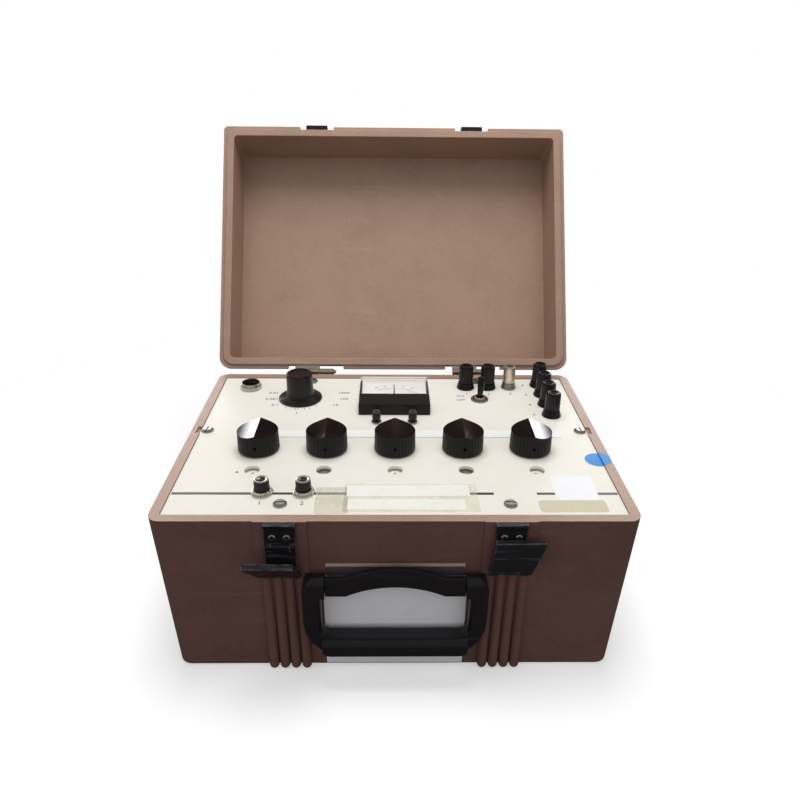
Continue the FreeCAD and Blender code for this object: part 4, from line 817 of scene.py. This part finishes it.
def make_materials(scene):
    """Builds every finish of the bridge."""
    case, panel = scene.bridge_case, scene.bridge_panel
    black, metals = tuple(scene.bridge_knobs.black), scene.bridge_metal
    grains = 1 / case.grain
    # The outer walls get a darker copy of the case plastic as painted shade, with a deeper grain.
    moulded("case_walls_painted_shade", tuple(case.walls), grains, 0.55, 0.5, grime=0.4, scuffs=0.35, wear=0.2)
    moulded("case_plastic", tuple(case.colour), grains, 0.44, 0.35, speckle=0.09, grime=0.3,
            scuffs=0.16, wear=0.35)
    enamel("panel_enamel", tuple(panel.enamel))
    ink("panel_ink", tuple(panel.ink))
    ink("scale_ink", shade(70, 70, 72))
    ink("dial_ink", shade(30, 30, 30))
    glossy_black("knob_black", black, 0.1, gloss=0.4)
    glossy_black("knob_side", tinted(black, 1.2), 0.36, gloss=0.22)
    glossy_black("grip_black", shade(22, 18, 21), 0.28)
    glossy_black("post_black", shade(19, 16, 19), 0.24)
    moulded("meter_black", shade(27, 23, 24), 1400.0, 0.36, 0.2, grime=0.3, wear=0.3, gloss=0.25)
    moulded("handle_black", shade(22, 18, 23), 1300.0, 0.34, 0.25, grime=0.3, scuffs=0.4, wear=0.3,
            edge_and_scuff_colour=shade(70, 66, 68), gloss=0.4)
    # The latches are painted light grey along their rounded edges and scuffs.
    moulded("latch_black", tuple(metals.latch), 1500.0, 0.34, 0.12, grime=0.25, scuffs=0.5, wear=0.9,
            edge_and_scuff_colour=shade(128, 126, 132), gloss=0.3)
    moulded("tray_black", shade(40, 40, 40), 1100.0, 0.5, 0.3)
    moulded("switch_phenolic", shade(112, 72, 42), 700.0, 0.5, 0.25, grime=0.4)
    moulded("spool_wood", shade(176, 138, 92), 500.0, 0.6, 0.3, speckle=0.2, grime=0.4)
    moulded("cell_jacket", shade(60, 68, 92), 1200.0, 0.35, 0.1)
    metal("bright_nickel", tuple(metals.nickel), 0.2, scale=1200.0)
    metal("warm_nickel", shade(238, 224, 202), 0.34, scale=1500.0, along=0.06)
    metal("hinge_nickel", shade(214, 202, 184), 0.3)
    metal("ring_grey", shade(124, 122, 120), 0.4, scale=1500.0)
    metal("screw_steel", tuple(metals.steel), 0.36, scale=1500.0)
    metal("plate_zinc", shade(186, 182, 168), 0.4)
    metal("magnet_iron", shade(104, 104, 108), 0.5)
    metal("coil_copper", shade(178, 104, 62), 0.35, scale=2200.0)
    for name, colour, stain, amount, rough, alpha in PAPERS:
        paper(name, shade(*colour), shade(*stain), amount, rough, alpha)
    clear_cover("meter_clear")


def m(name):
    """A finish by its name."""
    return MATERIALS[name]


# Pieces


def case_shells(scene):
    """The two moulded shells, their edges rounded."""
    edge = scene.bridge_case.edge
    base = outfit("base_shell", "base_moulding", "case_plastic", "case", "case_plastic", edge, segments=3)
    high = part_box("base_shell")[1]
    corner, skin, lip, pad_top = 9 * MM, 1.2 * MM, 0.7 * MM, 100 * MM

    def outer_wall(centre, normal):
        lean = math.tan(WALL_LEAN) * (high.z - centre.z)
        beyond_x = abs(centre.x) - (high.x - lean)
        beyond_y = abs(centre.y) - (CASE_HALF_D - lean)
        outward = normal.x * centre.x + normal.y * centre.y > 0
        in_corner = beyond_x > -corner and beyond_y > -corner and outward
        side = beyond_x > -skin or beyond_y > -skin or in_corner
        return side and centre.z < high.z - lip and (normal.z < 0.5 or centre.z < pad_top)

    # The outer walls and the underside of the base take the darker finish, painted shade.
    second_finish(base, m("case_walls_painted_shade"), lambda c, n: outer_wall(c, n) or c.z < 1 * MM)
    lid = outfit("lid_shell", "lid_moulding", "case_plastic", "lid", "case_plastic", edge, segments=3)
    shut = Matrix.Rotation(LID_SWING, 4, "X") @ Matrix.Translation(-LID_HINGE)

    def outer_lid(centre, normal):
        place = shut @ centre
        way = shut.to_3x3() @ normal
        outward = way.dot(place - LID_MIDDLE) > 0
        return place.z > LID_FLANGE_T and outward and (way.z > 0 or place.z < LID_INNER_H)

    # The outer walls of the lid take the same darker finish, painted shade.
    second_finish(lid, m("case_walls_painted_shade"), outer_lid)


def panel_plate(scene):
    """The enamelled panel and its six slotted screws."""
    outfit("panel", "panel_plate", "panel_enamel", "case", "panel_cream", 0.25 * MM, 50.0)
    outfit("panel_screws", "panel_screw_set", "screw_steel", "case", "plate_steel", 0.25 * MM, 35.0)


def printed_marks(scene):
    """The stripe, the ratio ticks and plain figures on the panel."""
    settings = scene.bridge_panel
    z, y, half = PANEL_TOP, settings.stripe_y, settings.stripe_w / 2
    bars = [print_bar(x0 * MM, x1 * MM, y - half, y + half, z) for x0, x1 in STRIPES]
    bars.append(printed_arc("dot", 0.55 * MM, 1.0 * MM, 0.0, TAU, -111.8 * MM, -53.3 * MM, z, 12))
    knob = middle("multiplier_knob")
    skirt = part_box("multiplier_knob")[1].x - knob.x
    for angle in RATIO_TICKS:
        tick = print_bar(skirt + 1.0 * MM, skirt + 3.4 * MM, -0.25 * MM, 0.25 * MM, 0)
        bars.append(moved(tick, knob.x, knob.y, z, math.radians(angle)))
    marks = [(text, RATIO_FIGURE_H, knob.x + dx * MM, knob.y + dy * MM) for text, dx, dy in RATIO_FIGURES]
    toggle = middle("toggle_switch")
    for word, up in (("ON", 6.5 * MM), ("OFF", -1.0 * MM)):
        marks.append((word, TOGGLE_FIGURE_H, toggle.x - TOGGLE_FIGURE_LEFT, toggle.y + up))
    for k, node in enumerate(KEYS, 1):
        key = middle(node)
        marks.append((str(k), settings.figure, key.x, key.y - KEY_FIGURE_DOWN))
    for k in range(1, POSTS + 1):
        cap = middle("post_cap_%d" % k)
        dx, dy = (0, -POST_FIGURE_DOWN) if k <= METAL_POST else (-POST_FIGURE_LEFT, 0)
        marks.append((str(k), POST_FIGURE_H, cap.x + dx, cap.y + dy))
    figures = [figure(text, high, x, y_mark, z) for text, high, x, y_mark in marks]
    finished(merged(bars, "panel_marks"), m("panel_ink"), "case", "panel_cream")
    finished(merged(figures, "panel_figures"), m("panel_ink"), "case", "panel_cream")


def decade_knob_shape(scene):
    """One fluted knob about the origin: two scoops meet in a ridge across its top."""
    settings = scene.bridge_knobs
    radius, bottom, top = upright("decade_knob_1")[1:]
    rim = top - settings.ridge
    body = radius - 0.3 * MM
    rings = points(radius, bottom, (-1.1, 0), (-0.45, 0.3), (0, 1.1), (0, 2.0), (-0.02, 2.6))
    rings += points(body, rim, (0, -1.2), (0, -0.8), (0, 4))
    sides = settings.flutes * 4
    knob = ring_body("knob", rings, sides)
    share = 1 - settings.flute_depth / body
    fluted(knob, bottom + 2.4 * MM, rim - 1.0 * MM, sides, 4, share)
    sag = 0.8 * MM
    chord = math.hypot(body, settings.ridge)
    scoop = chord * chord / (8 * sag) + sag / 2
    reach = scoop - sag
    out = body / 2 + reach * settings.ridge / chord
    up = (top + rim) / 2 + reach * body / chord
    for side in (-1, 1):
        cut(knob, moved(lying_rod("scoop", scoop, 4 * body, 256), side * out, 0, up))
    cut(knob, moved(lying_rod("hole", 1.15 * MM, 6 * MM, 20), 0, -body, bottom + 7.6 * MM))
    rounded(knob, 0.28 * MM, 2, 46.0)
    return smoothed(knob, 34.0)


def decade_knobs(scene):
    """Five knobs, each with a mesh of its own."""
    model = decade_knob_shape(scene)
    for k in range(1, DECADES + 1):
        node = "decade_knob_%d" % k
        place = middle(node)
        knob = twin(model, "fluted_knob_%d" % k, place.x, place.y)
        finished(knob, m("knob_black"), "decade_%d" % k, "black_plastic", node)
        second_finish(knob, m("knob_side"), lambda c, n: n.z < 0.5)
    bpy.data.objects.remove(model)


def decade_dials(scene):
    """Number discs with plain figures round them."""
    reach, hub = 30.2 * MM, 20 * MM
    for k in range(1, DECADES + 1):
        node, body = "decade_dial_%d" % k, "decade_%d" % k
        disc = outfit(node, "number_disc_%d" % k, "dial_disc", body, "dials", 0.15 * MM, 50.0)
        place = middle(node)
        top = max(v.co.z for v in disc.data.vertices if (v.co.xy - place.xy).length > hub)
        digits = []
        for n in range(DIAL_FIGURES):
            angle = math.radians(-90 + DIAL_STEP * (n - DIAL_FIGURES // 2))
            x = place.x + reach * math.cos(angle)
            y = place.y + reach * math.sin(angle)
            digits.append(figure(str(n), DIAL_FIGURE_H, x, y, top, angle + math.pi / 2))
        finished(merged(digits, "dial_figures_%d" % k), m("dial_ink"), body, "dials")


def multiplier_knob(scene):
    """The tall ratio knob with its glossy skirt."""
    place, skirt, bottom, top = upright("multiplier_knob")
    grip = 11.3 * MM
    rings = points(skirt, bottom, (-0.4, 0), (0, 0.4), (0, 1.0), (-0.9, 1.7), (-3.0, 2.9))
    rings += points(grip, bottom, (1.6, 3.7), (0.5, 4.4), (0, 5.6))
    rings += points(grip, top, (-0.4, -1.3), (-0.6, -0.5), (-1.2, 0), (-2.4, 0), (-2.9, -0.8))
    knob = ring_body("ratio_knob", rings + [(0.5 * MM, top - 0.9 * MM)], 72)
    notch = block("notch", grip - 4.2 * MM, grip + 2 * MM, -0.7 * MM, 0.7 * MM,
                  top - 1.6 * MM, top + 2 * MM)
    cut(knob, moved(notch, turn=math.radians(-52)))
    bored(knob, 3.22 * MM, bottom - 1 * MM, top - 4 * MM)
    bored(knob, 8.3 * MM, bottom - 1 * MM, bottom + 3.5 * MM)
    rounded(knob, 0.2 * MM, 2, 50.0)
    stood(knob, place, 34.0, "grip_black", "multiplier", "black_plastic", "multiplier_knob")


def galvanometer(scene):
    """Housing, clear cover, printed scale and needle of the panel meter."""
    outfit("galvanometer_housing", "meter_housing", "meter_black", "case", "black_plastic",
           0.35 * MM, 50.0)
    outfit("galvanometer_window", "meter_cover", "meter_clear", "case", "meter_clear", 0.25 * MM, 50.0)
    outfit("galvanometer_scale", "meter_scale_plate", "scale_card", "case", "meter_scale",
           0.1 * MM, 50.0)
    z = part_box("galvanometer_scale")[1].z
    pivot_y, outer, inner, reach = 48.5 * MM, 26.4 * MM, 23.8 * MM, 32.2 * MM
    spread, ahead = math.radians(58), math.pi / 2
    marks = [printed_arc("arc", radius, width, ahead - spread / 2, spread, 0, pivot_y, z, 28)
             for radius, width in ((outer, 0.35 * MM), (inner, 0.25 * MM))]
    for k in range(-10, 11):
        long = 3.0 * MM if k % 5 == 0 else 1.8 * MM
        tick = print_bar(outer, outer + long, -0.14 * MM, 0.14 * MM, 0)
        marks.append(moved(tick, 0, pivot_y, z, ahead + spread / 20 * k))
    for k in range(-10, 11, 5):
        angle = ahead - spread / 20 * k
        x, y = reach * math.cos(angle), pivot_y + reach * math.sin(angle)
        marks.append(figure(str(abs(k)), SCALE_FIGURE_H, x, y, z, angle - ahead))
    finished(merged(marks, "meter_scale_marks"), m("scale_ink"), "case", "meter_scale")
    outfit("galvanometer_needle", "meter_needle", "scale_ink", "galvanometer_needle", "needle_black",
           0.08 * MM, 50.0)
    outline = points(0.0, 0.0, (0, 0), (2.6, 0), (2.6, 0.15), (2.2, 0.35), (0, 0.35))
    zero = turned("zero_screw", outline, 32, closed=False)
    cut(zero, block("slot", -2.0 * MM, 2.0 * MM, -0.3 * MM, 0.3 * MM, 0.12 * MM, 1 * MM))
    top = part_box("galvanometer_housing")[1].z
    smoothed(moved(zero, 0, 46.0 * MM, top - 0.36 * MM))
    finished(zero, m("meter_black"), "case", "black_plastic")


def keys(scene):
    """Two knurled push keys with bright rings, and their chromed bushings."""
    sides, z = 96, PANEL_TOP
    for node in KEYS:
        place, radius, deep, top = upright(node)
        bottom = z + 3.0 * MM
        rings = points(radius, bottom, (-0.3, 0), (0, 0.3), (0, 0.8))
        rings += points(radius, top, (-0.05, -1.6), (-0.25, -1.1), (-0.7, -0.9))
        cap = ring_body(node + "_cap", rings + [(0.4 * MM, top - 0.9 * MM)], sides)
        fluted(cap, bottom + 0.5 * MM, top - 1.3 * MM, sides, 3, 0.955)
        stem = ring_body("stem", [(2.0 * MM, deep), (2.0 * MM, bottom + 0.2 * MM)], 24)
        cap = merged([cap, stem], node + "_cap")
        stood(cap, place, 40.0, "grip_black", node, "key_caps", node)
        outline = points(radius, top, (-0.55, -1.0), (-0.3, -0.75), (-0.45, -0.2), (-0.9, 0),
                         (-1.9, -0.1), (-2.3, -0.7), (-2.3, -1.0))
        ring = turned(node + "_ring", outline, 48)
        stood(ring, place, 60.0, "bright_nickel", node, "bright_metal")
        outline = [(0.0, top - 0.95 * MM)]
        outline += points(radius, top, (-2.35, -0.95), (-2.35, -0.7), (-3.2, -0.35))
        lens = turned(node + "_centre", outline + [(0.0, top - 0.25 * MM)], 40, closed=False)
        stood(lens, place, 60.0, "knob_black", node, "key_caps")
    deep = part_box("key_bushings")[0].z
    hole, neck, bore = 2.15 * MM, 5.9 * MM, 5.35 * MM
    outline = [(hole, deep), (neck, deep), (neck, z)]
    outline += points(0.0, z, (7.2, 0), (7.5, 0.3), (7.5, 1.1), (7.1, 1.6), (6.6, 1.75), (6.45, 2.2),
                      (6.3, 3.3), (6.1, 3.6))
    outline += points(bore, z, (0.15, 3.6), (0, 3.4), (0, 0)) + [(hole, z)]
    model = smoothed(rounded(turned("bushing", outline, 72), 0.12 * MM, 2, 35.0), 40.0)
    for k, node in enumerate(KEYS, 1):
        place = middle(node)
        bushing = twin(model, "key_bushing_%d" % k, place.x, place.y)
        finished(bushing, m("bright_nickel"), "case", "bright_metal", "key_bushings")
    bpy.data.objects.remove(model)


def null_buttons(scene):
    """The small buttons in front of the meter."""
    for node in ("null_button_left", "null_button_right"):
        place, radius, deep, top = upright(node)
        bottom = PANEL_TOP + 3.8 * MM
        rings = points(radius, bottom, (-0.2, 0), (0, 0.3)) + points(radius, top, (0, -1.0), (-0.3, -0.5))
        cap = ring_body(node + "_cap", rings + [(0.3 * MM, top - 0.5 * MM)], 48)
        stem = ring_body("stem", [(1.2 * MM, deep), (1.2 * MM, bottom + 0.2 * MM)], 20)
        cap = merged([cap, stem], node + "_cap")
        stood(cap, place, 40.0, "grip_black", node, "key_caps", node)
        outline = points(radius, top, (-0.25, -0.6), (-0.4, -0.1), (-0.8, 0), (-1.8, -0.1), (-2.1, -0.6))
        ring = turned(node + "_ring", outline, 40)
        stood(ring, place, 60.0, "ring_grey", node, "key_caps")
    outfit("null_button_bodies", "null_button_necks", "bright_nickel", "case", "black_plastic",
           0.15 * MM, 45.0)


def toggle_switch(scene):
    """The bat lever, its bushing and the ring nut."""
    outfit("toggle_lever", "toggle_bat", "post_black", "toggle", "black_plastic", 0.4 * MM)
    outfit("toggle_switch", "toggle_body", "warm_nickel", "case", "switch_phenolic", 0.2 * MM, 50.0)


def binding_posts(scene):
    """Seven posts: grooved caps, flared feet and jack studs; one post is metal."""
    sides, bore, inner, sleeve, z = 72, 3.05 * MM, 3.0 * MM, 4.1 * MM, PANEL_TOP
    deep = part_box("post_feet")[0].z
    for k in range(1, POSTS + 1):
        node = "post_cap_%d" % k
        place, radius, bottom, top = upright(node)
        plain = k != METAL_POST
        slot = "black_plastic" if plain else "bright_metal"
        rings = points(radius, bottom, (0, 0), (0, 0.9), (-0.35, 1.3), (-0.35, 1.7), (-0.05, 2.1))
        rings += points(radius, top, (-0.2, -2.0), (-0.45, -0.9), (-1.1, -0.1), (-1.7, 0))
        cap = ring_body("grooved_cap_%d" % k, rings + [(bore + 1.0 * MM, top - 0.5 * MM)], sides)
        if plain:
            fluted(cap, bottom + 1.9 * MM, top - 1.0 * MM, sides, 6, 0.95)
        bored(cap, bore, bottom - 1 * MM, top + 1 * MM, 48)
        rounded(cap, 0.15 * MM, 2, 55.0)
        stood(cap, place, 36.0, "post_black" if plain else "warm_nickel", node, slot, node)
        foot_r = FOOT_R * (radius / POST_R)
        outline = [(inner, deep), (sleeve, deep), (sleeve, z)]
        outline += points(foot_r, z, (-0.2, 0), (0, 0.3), (0, 1.0), (-0.35, 1.7), (-0.75, 3.2),
                          (-0.95, 3.4), (-0.95, 3.8), (-0.8, 4.0))
        outline += points(radius, z, (0.1, 5.8), (-0.2, 6.0)) + [(inner, z + 6.0 * MM)]
        foot = turned("post_foot_%d" % k, outline, 64)
        stood(foot, place, 36.0, "post_black" if plain else "screw_steel", "case", slot, "post_feet")
    outfit("post_studs", "jack_studs", "screw_steel", "case", "bright_metal", 0.15 * MM, 50.0)


def round_socket(scene):
    """The three-pin socket with its knurled ring."""
    place, radius, deep, top = upright("socket_shell")
    z, bore, neck, sides = PANEL_TOP, 7.2 * MM, 8.0 * MM, 72
    outline = [(bore, deep), (neck, deep), (neck, z)]
    outline += points(radius, z, (-0.3, 0), (0, 0.3), (0, 0.8), (-0.1, 2.9), (-0.5, 3.4))
    outline += points(0.0, z, (8.3, 4.0), (8.1, 4.3)) + [(neck, top - 0.3 * MM), (7.8 * MM, top)]
    outline += points(bore, top, (0.2, 0), (0, -0.2))
    ring = turned("socket_ring", outline, sides)
    fluted(ring, z + 0.6 * MM, z + 3.1 * MM, sides, 3, 0.93, radius - 0.3 * MM)
    rounded(ring, 0.12 * MM, 2, 50.0)
    stood(ring, place, 36.0, "bright_nickel", "case", "bright_metal", "socket_shell")
    outfit("socket_insert", "socket_core", "grip_black", "case", "black_plastic", 0.1 * MM, 50.0)


def cross_slot(x, y, z):
    """The dark cross in a latch screw's head."""
    long, short, proud = 1.25 * MM, 0.42 * MM, 0.02 * MM
    bars = [block("bar", -a, a, -proud, 0.2 * MM, -b, b) for a, b in ((long, short), (short, long))]
    cross = merged(bars, "cross")
    cross.data.transform(Matrix.Translation((x, y, z)) @ Matrix.Rotation(math.pi / 7, 4, "Y"))
    return cross


def latches(scene):
    """Black latches, their screws and the lid's catches."""
    rows = (("latch_bases", "latch_plates", "case"),
            ("latch_link_left", "link_plate_left", "latch_link_left"),
            ("latch_link_right", "link_plate_right", "latch_link_right"),
            ("latch_lever_left", "lever_plate_left", "latch_lever_left"),
            ("latch_lever_right", "lever_plate_right", "latch_lever_right"),
            ("lid_catches", "catch_hooks", "lid"))
    for node, name, body in rows:
        outfit(node, name, "latch_black", body, "latch_metal", 0.3 * MM, 35.0)
    outfit("latch_screws", "latch_screw_set", "bright_nickel", "case", "plate_steel", 0.12 * MM)
    low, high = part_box("latch_screws")
    head_z = (low.z + high.z) / 2
    front = [v.co for v in NODES["latch_screws"].data.vertices if v.co.y < low.y + 0.01 * MM]
    heads = sorted({round(co.x, 4) for co in front})
    crosses = []
    for side in (-1, 1):
        group = [x for x in heads if x * side > 0]
        for x in (min(group), max(group)):
            centre = x + (LATCH_HEAD_R if x == min(group) else -LATCH_HEAD_R)
            crosses.append(cross_slot(centre, low.y, head_z))
    finished(merged(crosses, "latch_screw_slots"), m("dial_ink"), "case", "plate_steel")


def carrying_handle(scene):
    """The moulded loop and the arched bracket."""
    outfit("handle_loop", "grip_loop", "handle_black", "handle", "handle_black", 0.5 * MM, 50.0)
    outfit("handle_bracket", "arched_bracket", "handle_black", "case", "handle_black", 0.5 * MM, 50.0, 3)


def instruction_card(scene):
    """The bare card on the front: a white body and a dark header with a pale border."""
    body = outfit("instruction_card", "front_card", "card_body", "case", "card_white", 0.05 * MM, 50.0)
    second_finish(body, m("card_edge"), lambda c, n: c.z > CARD_SPLIT)
    low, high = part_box("instruction_card")
    border, gap = 2.2 * MM, 0.03 * MM
    plate = leaf("card_header", high.x - low.x - 2 * border, high.z - CARD_SPLIT - border, 1.6 * MM)
    head = [v.co for v in NODES["instruction_card"].data.vertices if v.co.z > CARD_SPLIT]
    upper = min(co.y for co in head if co.z > high.z - 1 * MM)
    middle_z = (high.z - border + CARD_SPLIT) / 2
    front = upper + math.tan(WALL_LEAN) * (high.z - middle_z)
    place = Matrix.Translation((0, front - gap, middle_z))
    plate.data.transform(place @ Matrix.Rotation(math.pi / 2 + WALL_LEAN, 4, "X"))
    finished(plate, m("card_head"), "case", "card_white")


def hinges(scene):
    """Bright slip-apart hinges."""
    outfit("hinge_base_leaves", "hinge_lower", "hinge_nickel", "case", "hinge_metal", 0.2 * MM)
    outfit("hinge_lid_leaves", "hinge_upper", "hinge_nickel", "lid", "hinge_metal", 0.2 * MM)


def stuck_on(scene):
    """Bare tapes, notes and labels on the panel."""
    z = PANEL_TOP
    rows = (("tape_strip", 222, 11.0, 18.5, 2.4, 0.3, 0.25, "tape_white", 0.0),
            ("note_tape", 90, 33, 10.3, -84.7, 0.0, 0.6, "note_tape", 0.0),
            ("note_paper", 83, 13.5, 8.6, -76.5, 0.09, 0.3, "note_paper", 0.4),
            ("note_lower", 78, 12.0, 7.2, -92.8, 0.09, 0.3, "note_paper", -0.3),
            ("clear_tape", 22, 31, -42.5, -88.0, 0.0, 1.6, "tape_clear", 2.0),
            ("white_label", 29, 30, 122.8, -72.5, 0.0, 1.5, "label_white", -1.6),
            ("yellow_tape", 45, 13.6, 117.2, -94.6, 0.0, 2.6, "tape_yellowed", 0.4))
    for name, width, depth, x, y, lift, corner, finish, turn in rows:
        sheet = leaf(name, width * MM, depth * MM, corner * MM)
        moved(sheet, x * MM, y * MM, z + (0.01 + lift) * MM, math.radians(turn))
        finished(sheet, m(finish), "case", "card_white")


def round_sticker(scene):
    """A bare oval sticker, half on the panel and half on the rim."""
    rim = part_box("base_shell")[1].z
    step_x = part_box("panel")[1].x
    deselect()
    bpy.ops.mesh.primitive_circle_add(vertices=56, radius=1, fill_type="NGON")
    sticker = named("oval_sticker")
    editing(sticker)
    bpy.ops.transform.resize(value=(*STICKER_RADII, 1))
    bpy.ops.transform.translate(value=(*STICKER_PLACE, PANEL_TOP + 0.12 * MM))
    for x in (step_x - 0.5 * MM, step_x + 0.3 * MM):
        bpy.ops.mesh.select_all(action="SELECT")
        bpy.ops.mesh.bisect(plane_co=(x, 0, 0), plane_no=(1, 0, 0))
    pick(sticker, lambda co: co.x > step_x)
    bpy.ops.transform.translate(value=(0, 0, rim - PANEL_TOP))
    bpy.ops.mesh.select_all(action="SELECT")
    pulled(0, 0, 0.1 * MM)
    closed_up()
    finished(sticker, m("sticker_blue"), "case", "card_white")


def inner_finishes(scene):
    """Finishes of the nodes that keep their CAD shape."""
    rows = {"switch_plate": "plate_zinc", "panel_nuts": "screw_steel", "rotary_switches": "switch_phenolic",
            "key_contact_blocks": "switch_phenolic", "resistor_spools": "spool_wood",
            "galvanometer_magnet": "magnet_iron", "galvanometer_coil": "coil_copper",
            "multiplier_shaft": "screw_steel", "battery_tray": "tray_black", "battery_cells": "cell_jacket"}
    for node, finish in rows.items():
        for slot in NODES[node].material_slots:
            slot.material = m(finish)


def camera(scene):
    """The camera at the photograph's place."""
    s = scene.bridge_stage
    ahead = math.cos(s.pitch)
    view = Vector((math.sin(s.yaw) * ahead, math.cos(s.yaw) * ahead, -math.sin(s.pitch)))
    level = Vector((math.cos(s.yaw), -math.sin(s.yaw), 0))
    upright = level.cross(view)
    right = math.cos(s.roll) * level + math.sin(s.roll) * upright
    up = -math.sin(s.roll) * level + math.cos(s.roll) * upright
    deselect()
    bpy.ops.object.camera_add()
    eye = bpy.context.active_object
    eye.name = "stage_camera"
    eye.matrix_world = Matrix.Translation(s.place) @ Matrix((right, up, -view)).transposed().to_4x4()
    eye.data.sensor_width = 36.0
    eye.data.lens = s.lens
    eye.data.clip_start = 0.02
    scene.camera = eye


def floor(scene):
    """A pale floor that fades out far from the object."""
    deselect()
    bpy.ops.mesh.primitive_circle_add(vertices=96, radius=FLOOR_R, fill_type="NGON")
    plane = named("stage_floor")
    g, shader = new_material("pale_floor")
    seen = g.add("ShaderNodeLightPath").outputs["Is Camera Ray"]
    place = g.place()
    speck = g.noise(place, 400.0, 2.0)
    far = g.add("ShaderNodeVectorMath", {"operation": "LENGTH"})
    g.put(far.inputs[0], place)
    pale = g.blend(speck, (0.96, 0.96, 0.96), (1.0, 1.0, 1.0))
    glow = g.blend(seen, (0.0, 0.0, 0.0), (FLOOR_GLOW,) * 3)
    set_shader(g, shader, base_color=g.blend(seen, (0.16, 0.155, 0.15), pale), roughness=0.9,
               gloss=0.0, emission_color=glow, emission_strength=1.0,
               alpha=g.spread(far.outputs["Value"], *FLOOR_FADE, 1.0, 0.0))
    plane.data.materials.append(MATERIALS["pale_floor"])


def lights(scene):
    """Soft light from above and a room that shows white behind the object."""
    s = scene.bridge_stage
    deselect()
    bpy.ops.object.light_add(type="AREA", location=LAMP_PLACE)
    lamp = bpy.context.active_object
    lamp.name = "stage_overhead"
    lamp.data.shape = "DISK"
    lamp.data.size = LAMP_SIZE
    lamp.data.energy = s.overhead
    lamp.visible_glossy = False
    world = bpy.data.worlds.new("stage_room")
    world.use_nodes = True
    scene.world = world
    g = Graph(world.node_tree)
    back = next(n for n in world.node_tree.nodes if n.type == "BACKGROUND")
    path = g.add("ShaderNodeLightPath").outputs
    way = g.add("ShaderNodeTexCoord").outputs["Generated"]
    parts = g.add("ShaderNodeSeparateXYZ", vector=way).outputs
    front = g.spread(parts["Y"], 0.1, -0.5, s.ambient, s.ambient + s.window)
    room = g.times(front, g.spread(parts["Z"], -0.02, 0.06))
    mirror = g.spread(parts["Y"], 0.25, 0.75, 0.34, 1.0)
    outer, inner = math.cos(PATCH_EDGE), math.cos(PATCH_CORE)
    for side in (-1, 1):
        near = g.add("ShaderNodeVectorMath", {"operation": "DOT_PRODUCT"})
        g.put(near.inputs[0], way)
        g.put(near.inputs[1], Vector((side * PATCH_X, PATCH_Y, PATCH_Z)).normalized())
        patch = g.spread(near.outputs["Value"], outer, inner, 0.0, s.highlight)
        mirror = g.plus(mirror, patch)
    glossy = path["Is Glossy Ray"]
    lit = g.plus(g.times(mirror, glossy),
                g.times(room, g.less(1.0, glossy)))
    shown = g.reckon("MAXIMUM", path["Is Camera Ray"], path["Is Transmission Ray"])
    g.put(back.inputs["Strength"], g.reckon("MAXIMUM", shown,
                                         g.times(lit, g.less(1.0, shown))))
    back.inputs["Color"].default_value = (1, 1, 1, 1)
    scene.view_settings.view_transform = "Standard"


# Operators


def piece_operator(name, label, about, *builders):
    """An operator class that runs some builders in order."""
    def execute(self, context):
        for builder in builders:
            builder(context.scene)
        return {"FINISHED"}
    return type("BRIDGE_OT_" + name, (bpy.types.Operator,),
                {"bl_idname": "bridge." + name, "bl_label": label, "__doc__": about, "execute": execute})


OPERATORS = [
    piece_operator("finishes", "Finishes", "Build the shared effects and every material",
                   lambda scene: make_effects(), make_materials),
    piece_operator("case_shells", "Case shells", "Add the moulded base and lid", case_shells),
    piece_operator("panel", "Panel", "Add the enamelled panel, its screws and its print",
                   panel_plate, printed_marks),
    piece_operator("decade_knobs", "Decade knobs", "Add five fluted knobs and their number discs",
                   decade_knobs, decade_dials),
    piece_operator("multiplier", "Multiplier", "Add the ratio knob", multiplier_knob),
    piece_operator("galvanometer", "Galvanometer", "Add the panel meter", galvanometer),
    piece_operator("keys", "Keys and buttons", "Add the push keys and the small buttons",
                   keys, null_buttons),
    piece_operator("toggle", "Toggle", "Add the toggle switch", toggle_switch),
    piece_operator("posts", "Binding posts", "Add the seven binding posts", binding_posts),
    piece_operator("socket", "Socket", "Add the round socket", round_socket),
    piece_operator("latches", "Latches", "Add the latches and catches", latches),
    piece_operator("handle", "Handle", "Add the carrying handle and its bracket", carrying_handle),
    piece_operator("card", "Front card", "Add the bare card on the front", instruction_card),
    piece_operator("hinges", "Hinges", "Add the hinge leaves", hinges),
    piece_operator("labels", "Tapes and labels", "Add bare tapes and labels", stuck_on, round_sticker),
    piece_operator("inside", "Inner parts", "Give the inner parts their finishes", inner_finishes),
    piece_operator("stage", "Stage", "Add camera, floor and light", camera, floor, lights),
]


class BRIDGE_PT_pieces(bpy.types.Panel):
    """Sizes, colours and builders of the bridge."""

    bl_label = "Wheatstone bridge"
    bl_idname = "BRIDGE_PT_pieces"
    bl_space_type = "VIEW_3D"
    bl_region_type = "UI"
    bl_category = "Bridge"

    def draw(self, context):
        """Lists the settings, then the operators."""
        for name, group in SETTINGS.items():
            box = self.layout.box()
            for key in group.__annotations__:
                box.prop(getattr(context.scene, name), key)
        for operator in OPERATORS:
            self.layout.operator(operator.bl_idname)


CLASSES = [*SETTINGS.values(), *OPERATORS, BRIDGE_PT_pieces]


def register():
    """Registers the classes and hangs the settings on the scene."""
    for item in CLASSES:
        bpy.utils.register_class(item)
    for name, group in SETTINGS.items():
        setattr(bpy.types.Scene, name, bpy.props.PointerProperty(type=group))


def unregister():
    """Takes back what register did."""
    for name in SETTINGS:
        delattr(bpy.types.Scene, name)
    for item in reversed(CLASSES):
        bpy.utils.unregister_class(item)


def main():
    """Builds everything in order and writes both boxes."""
    register()
    for operator in OPERATORS:
        group, name = operator.bl_idname.split(".")
        getattr(getattr(bpy.ops, group), name)()


if __name__ == "__main__":
    main()
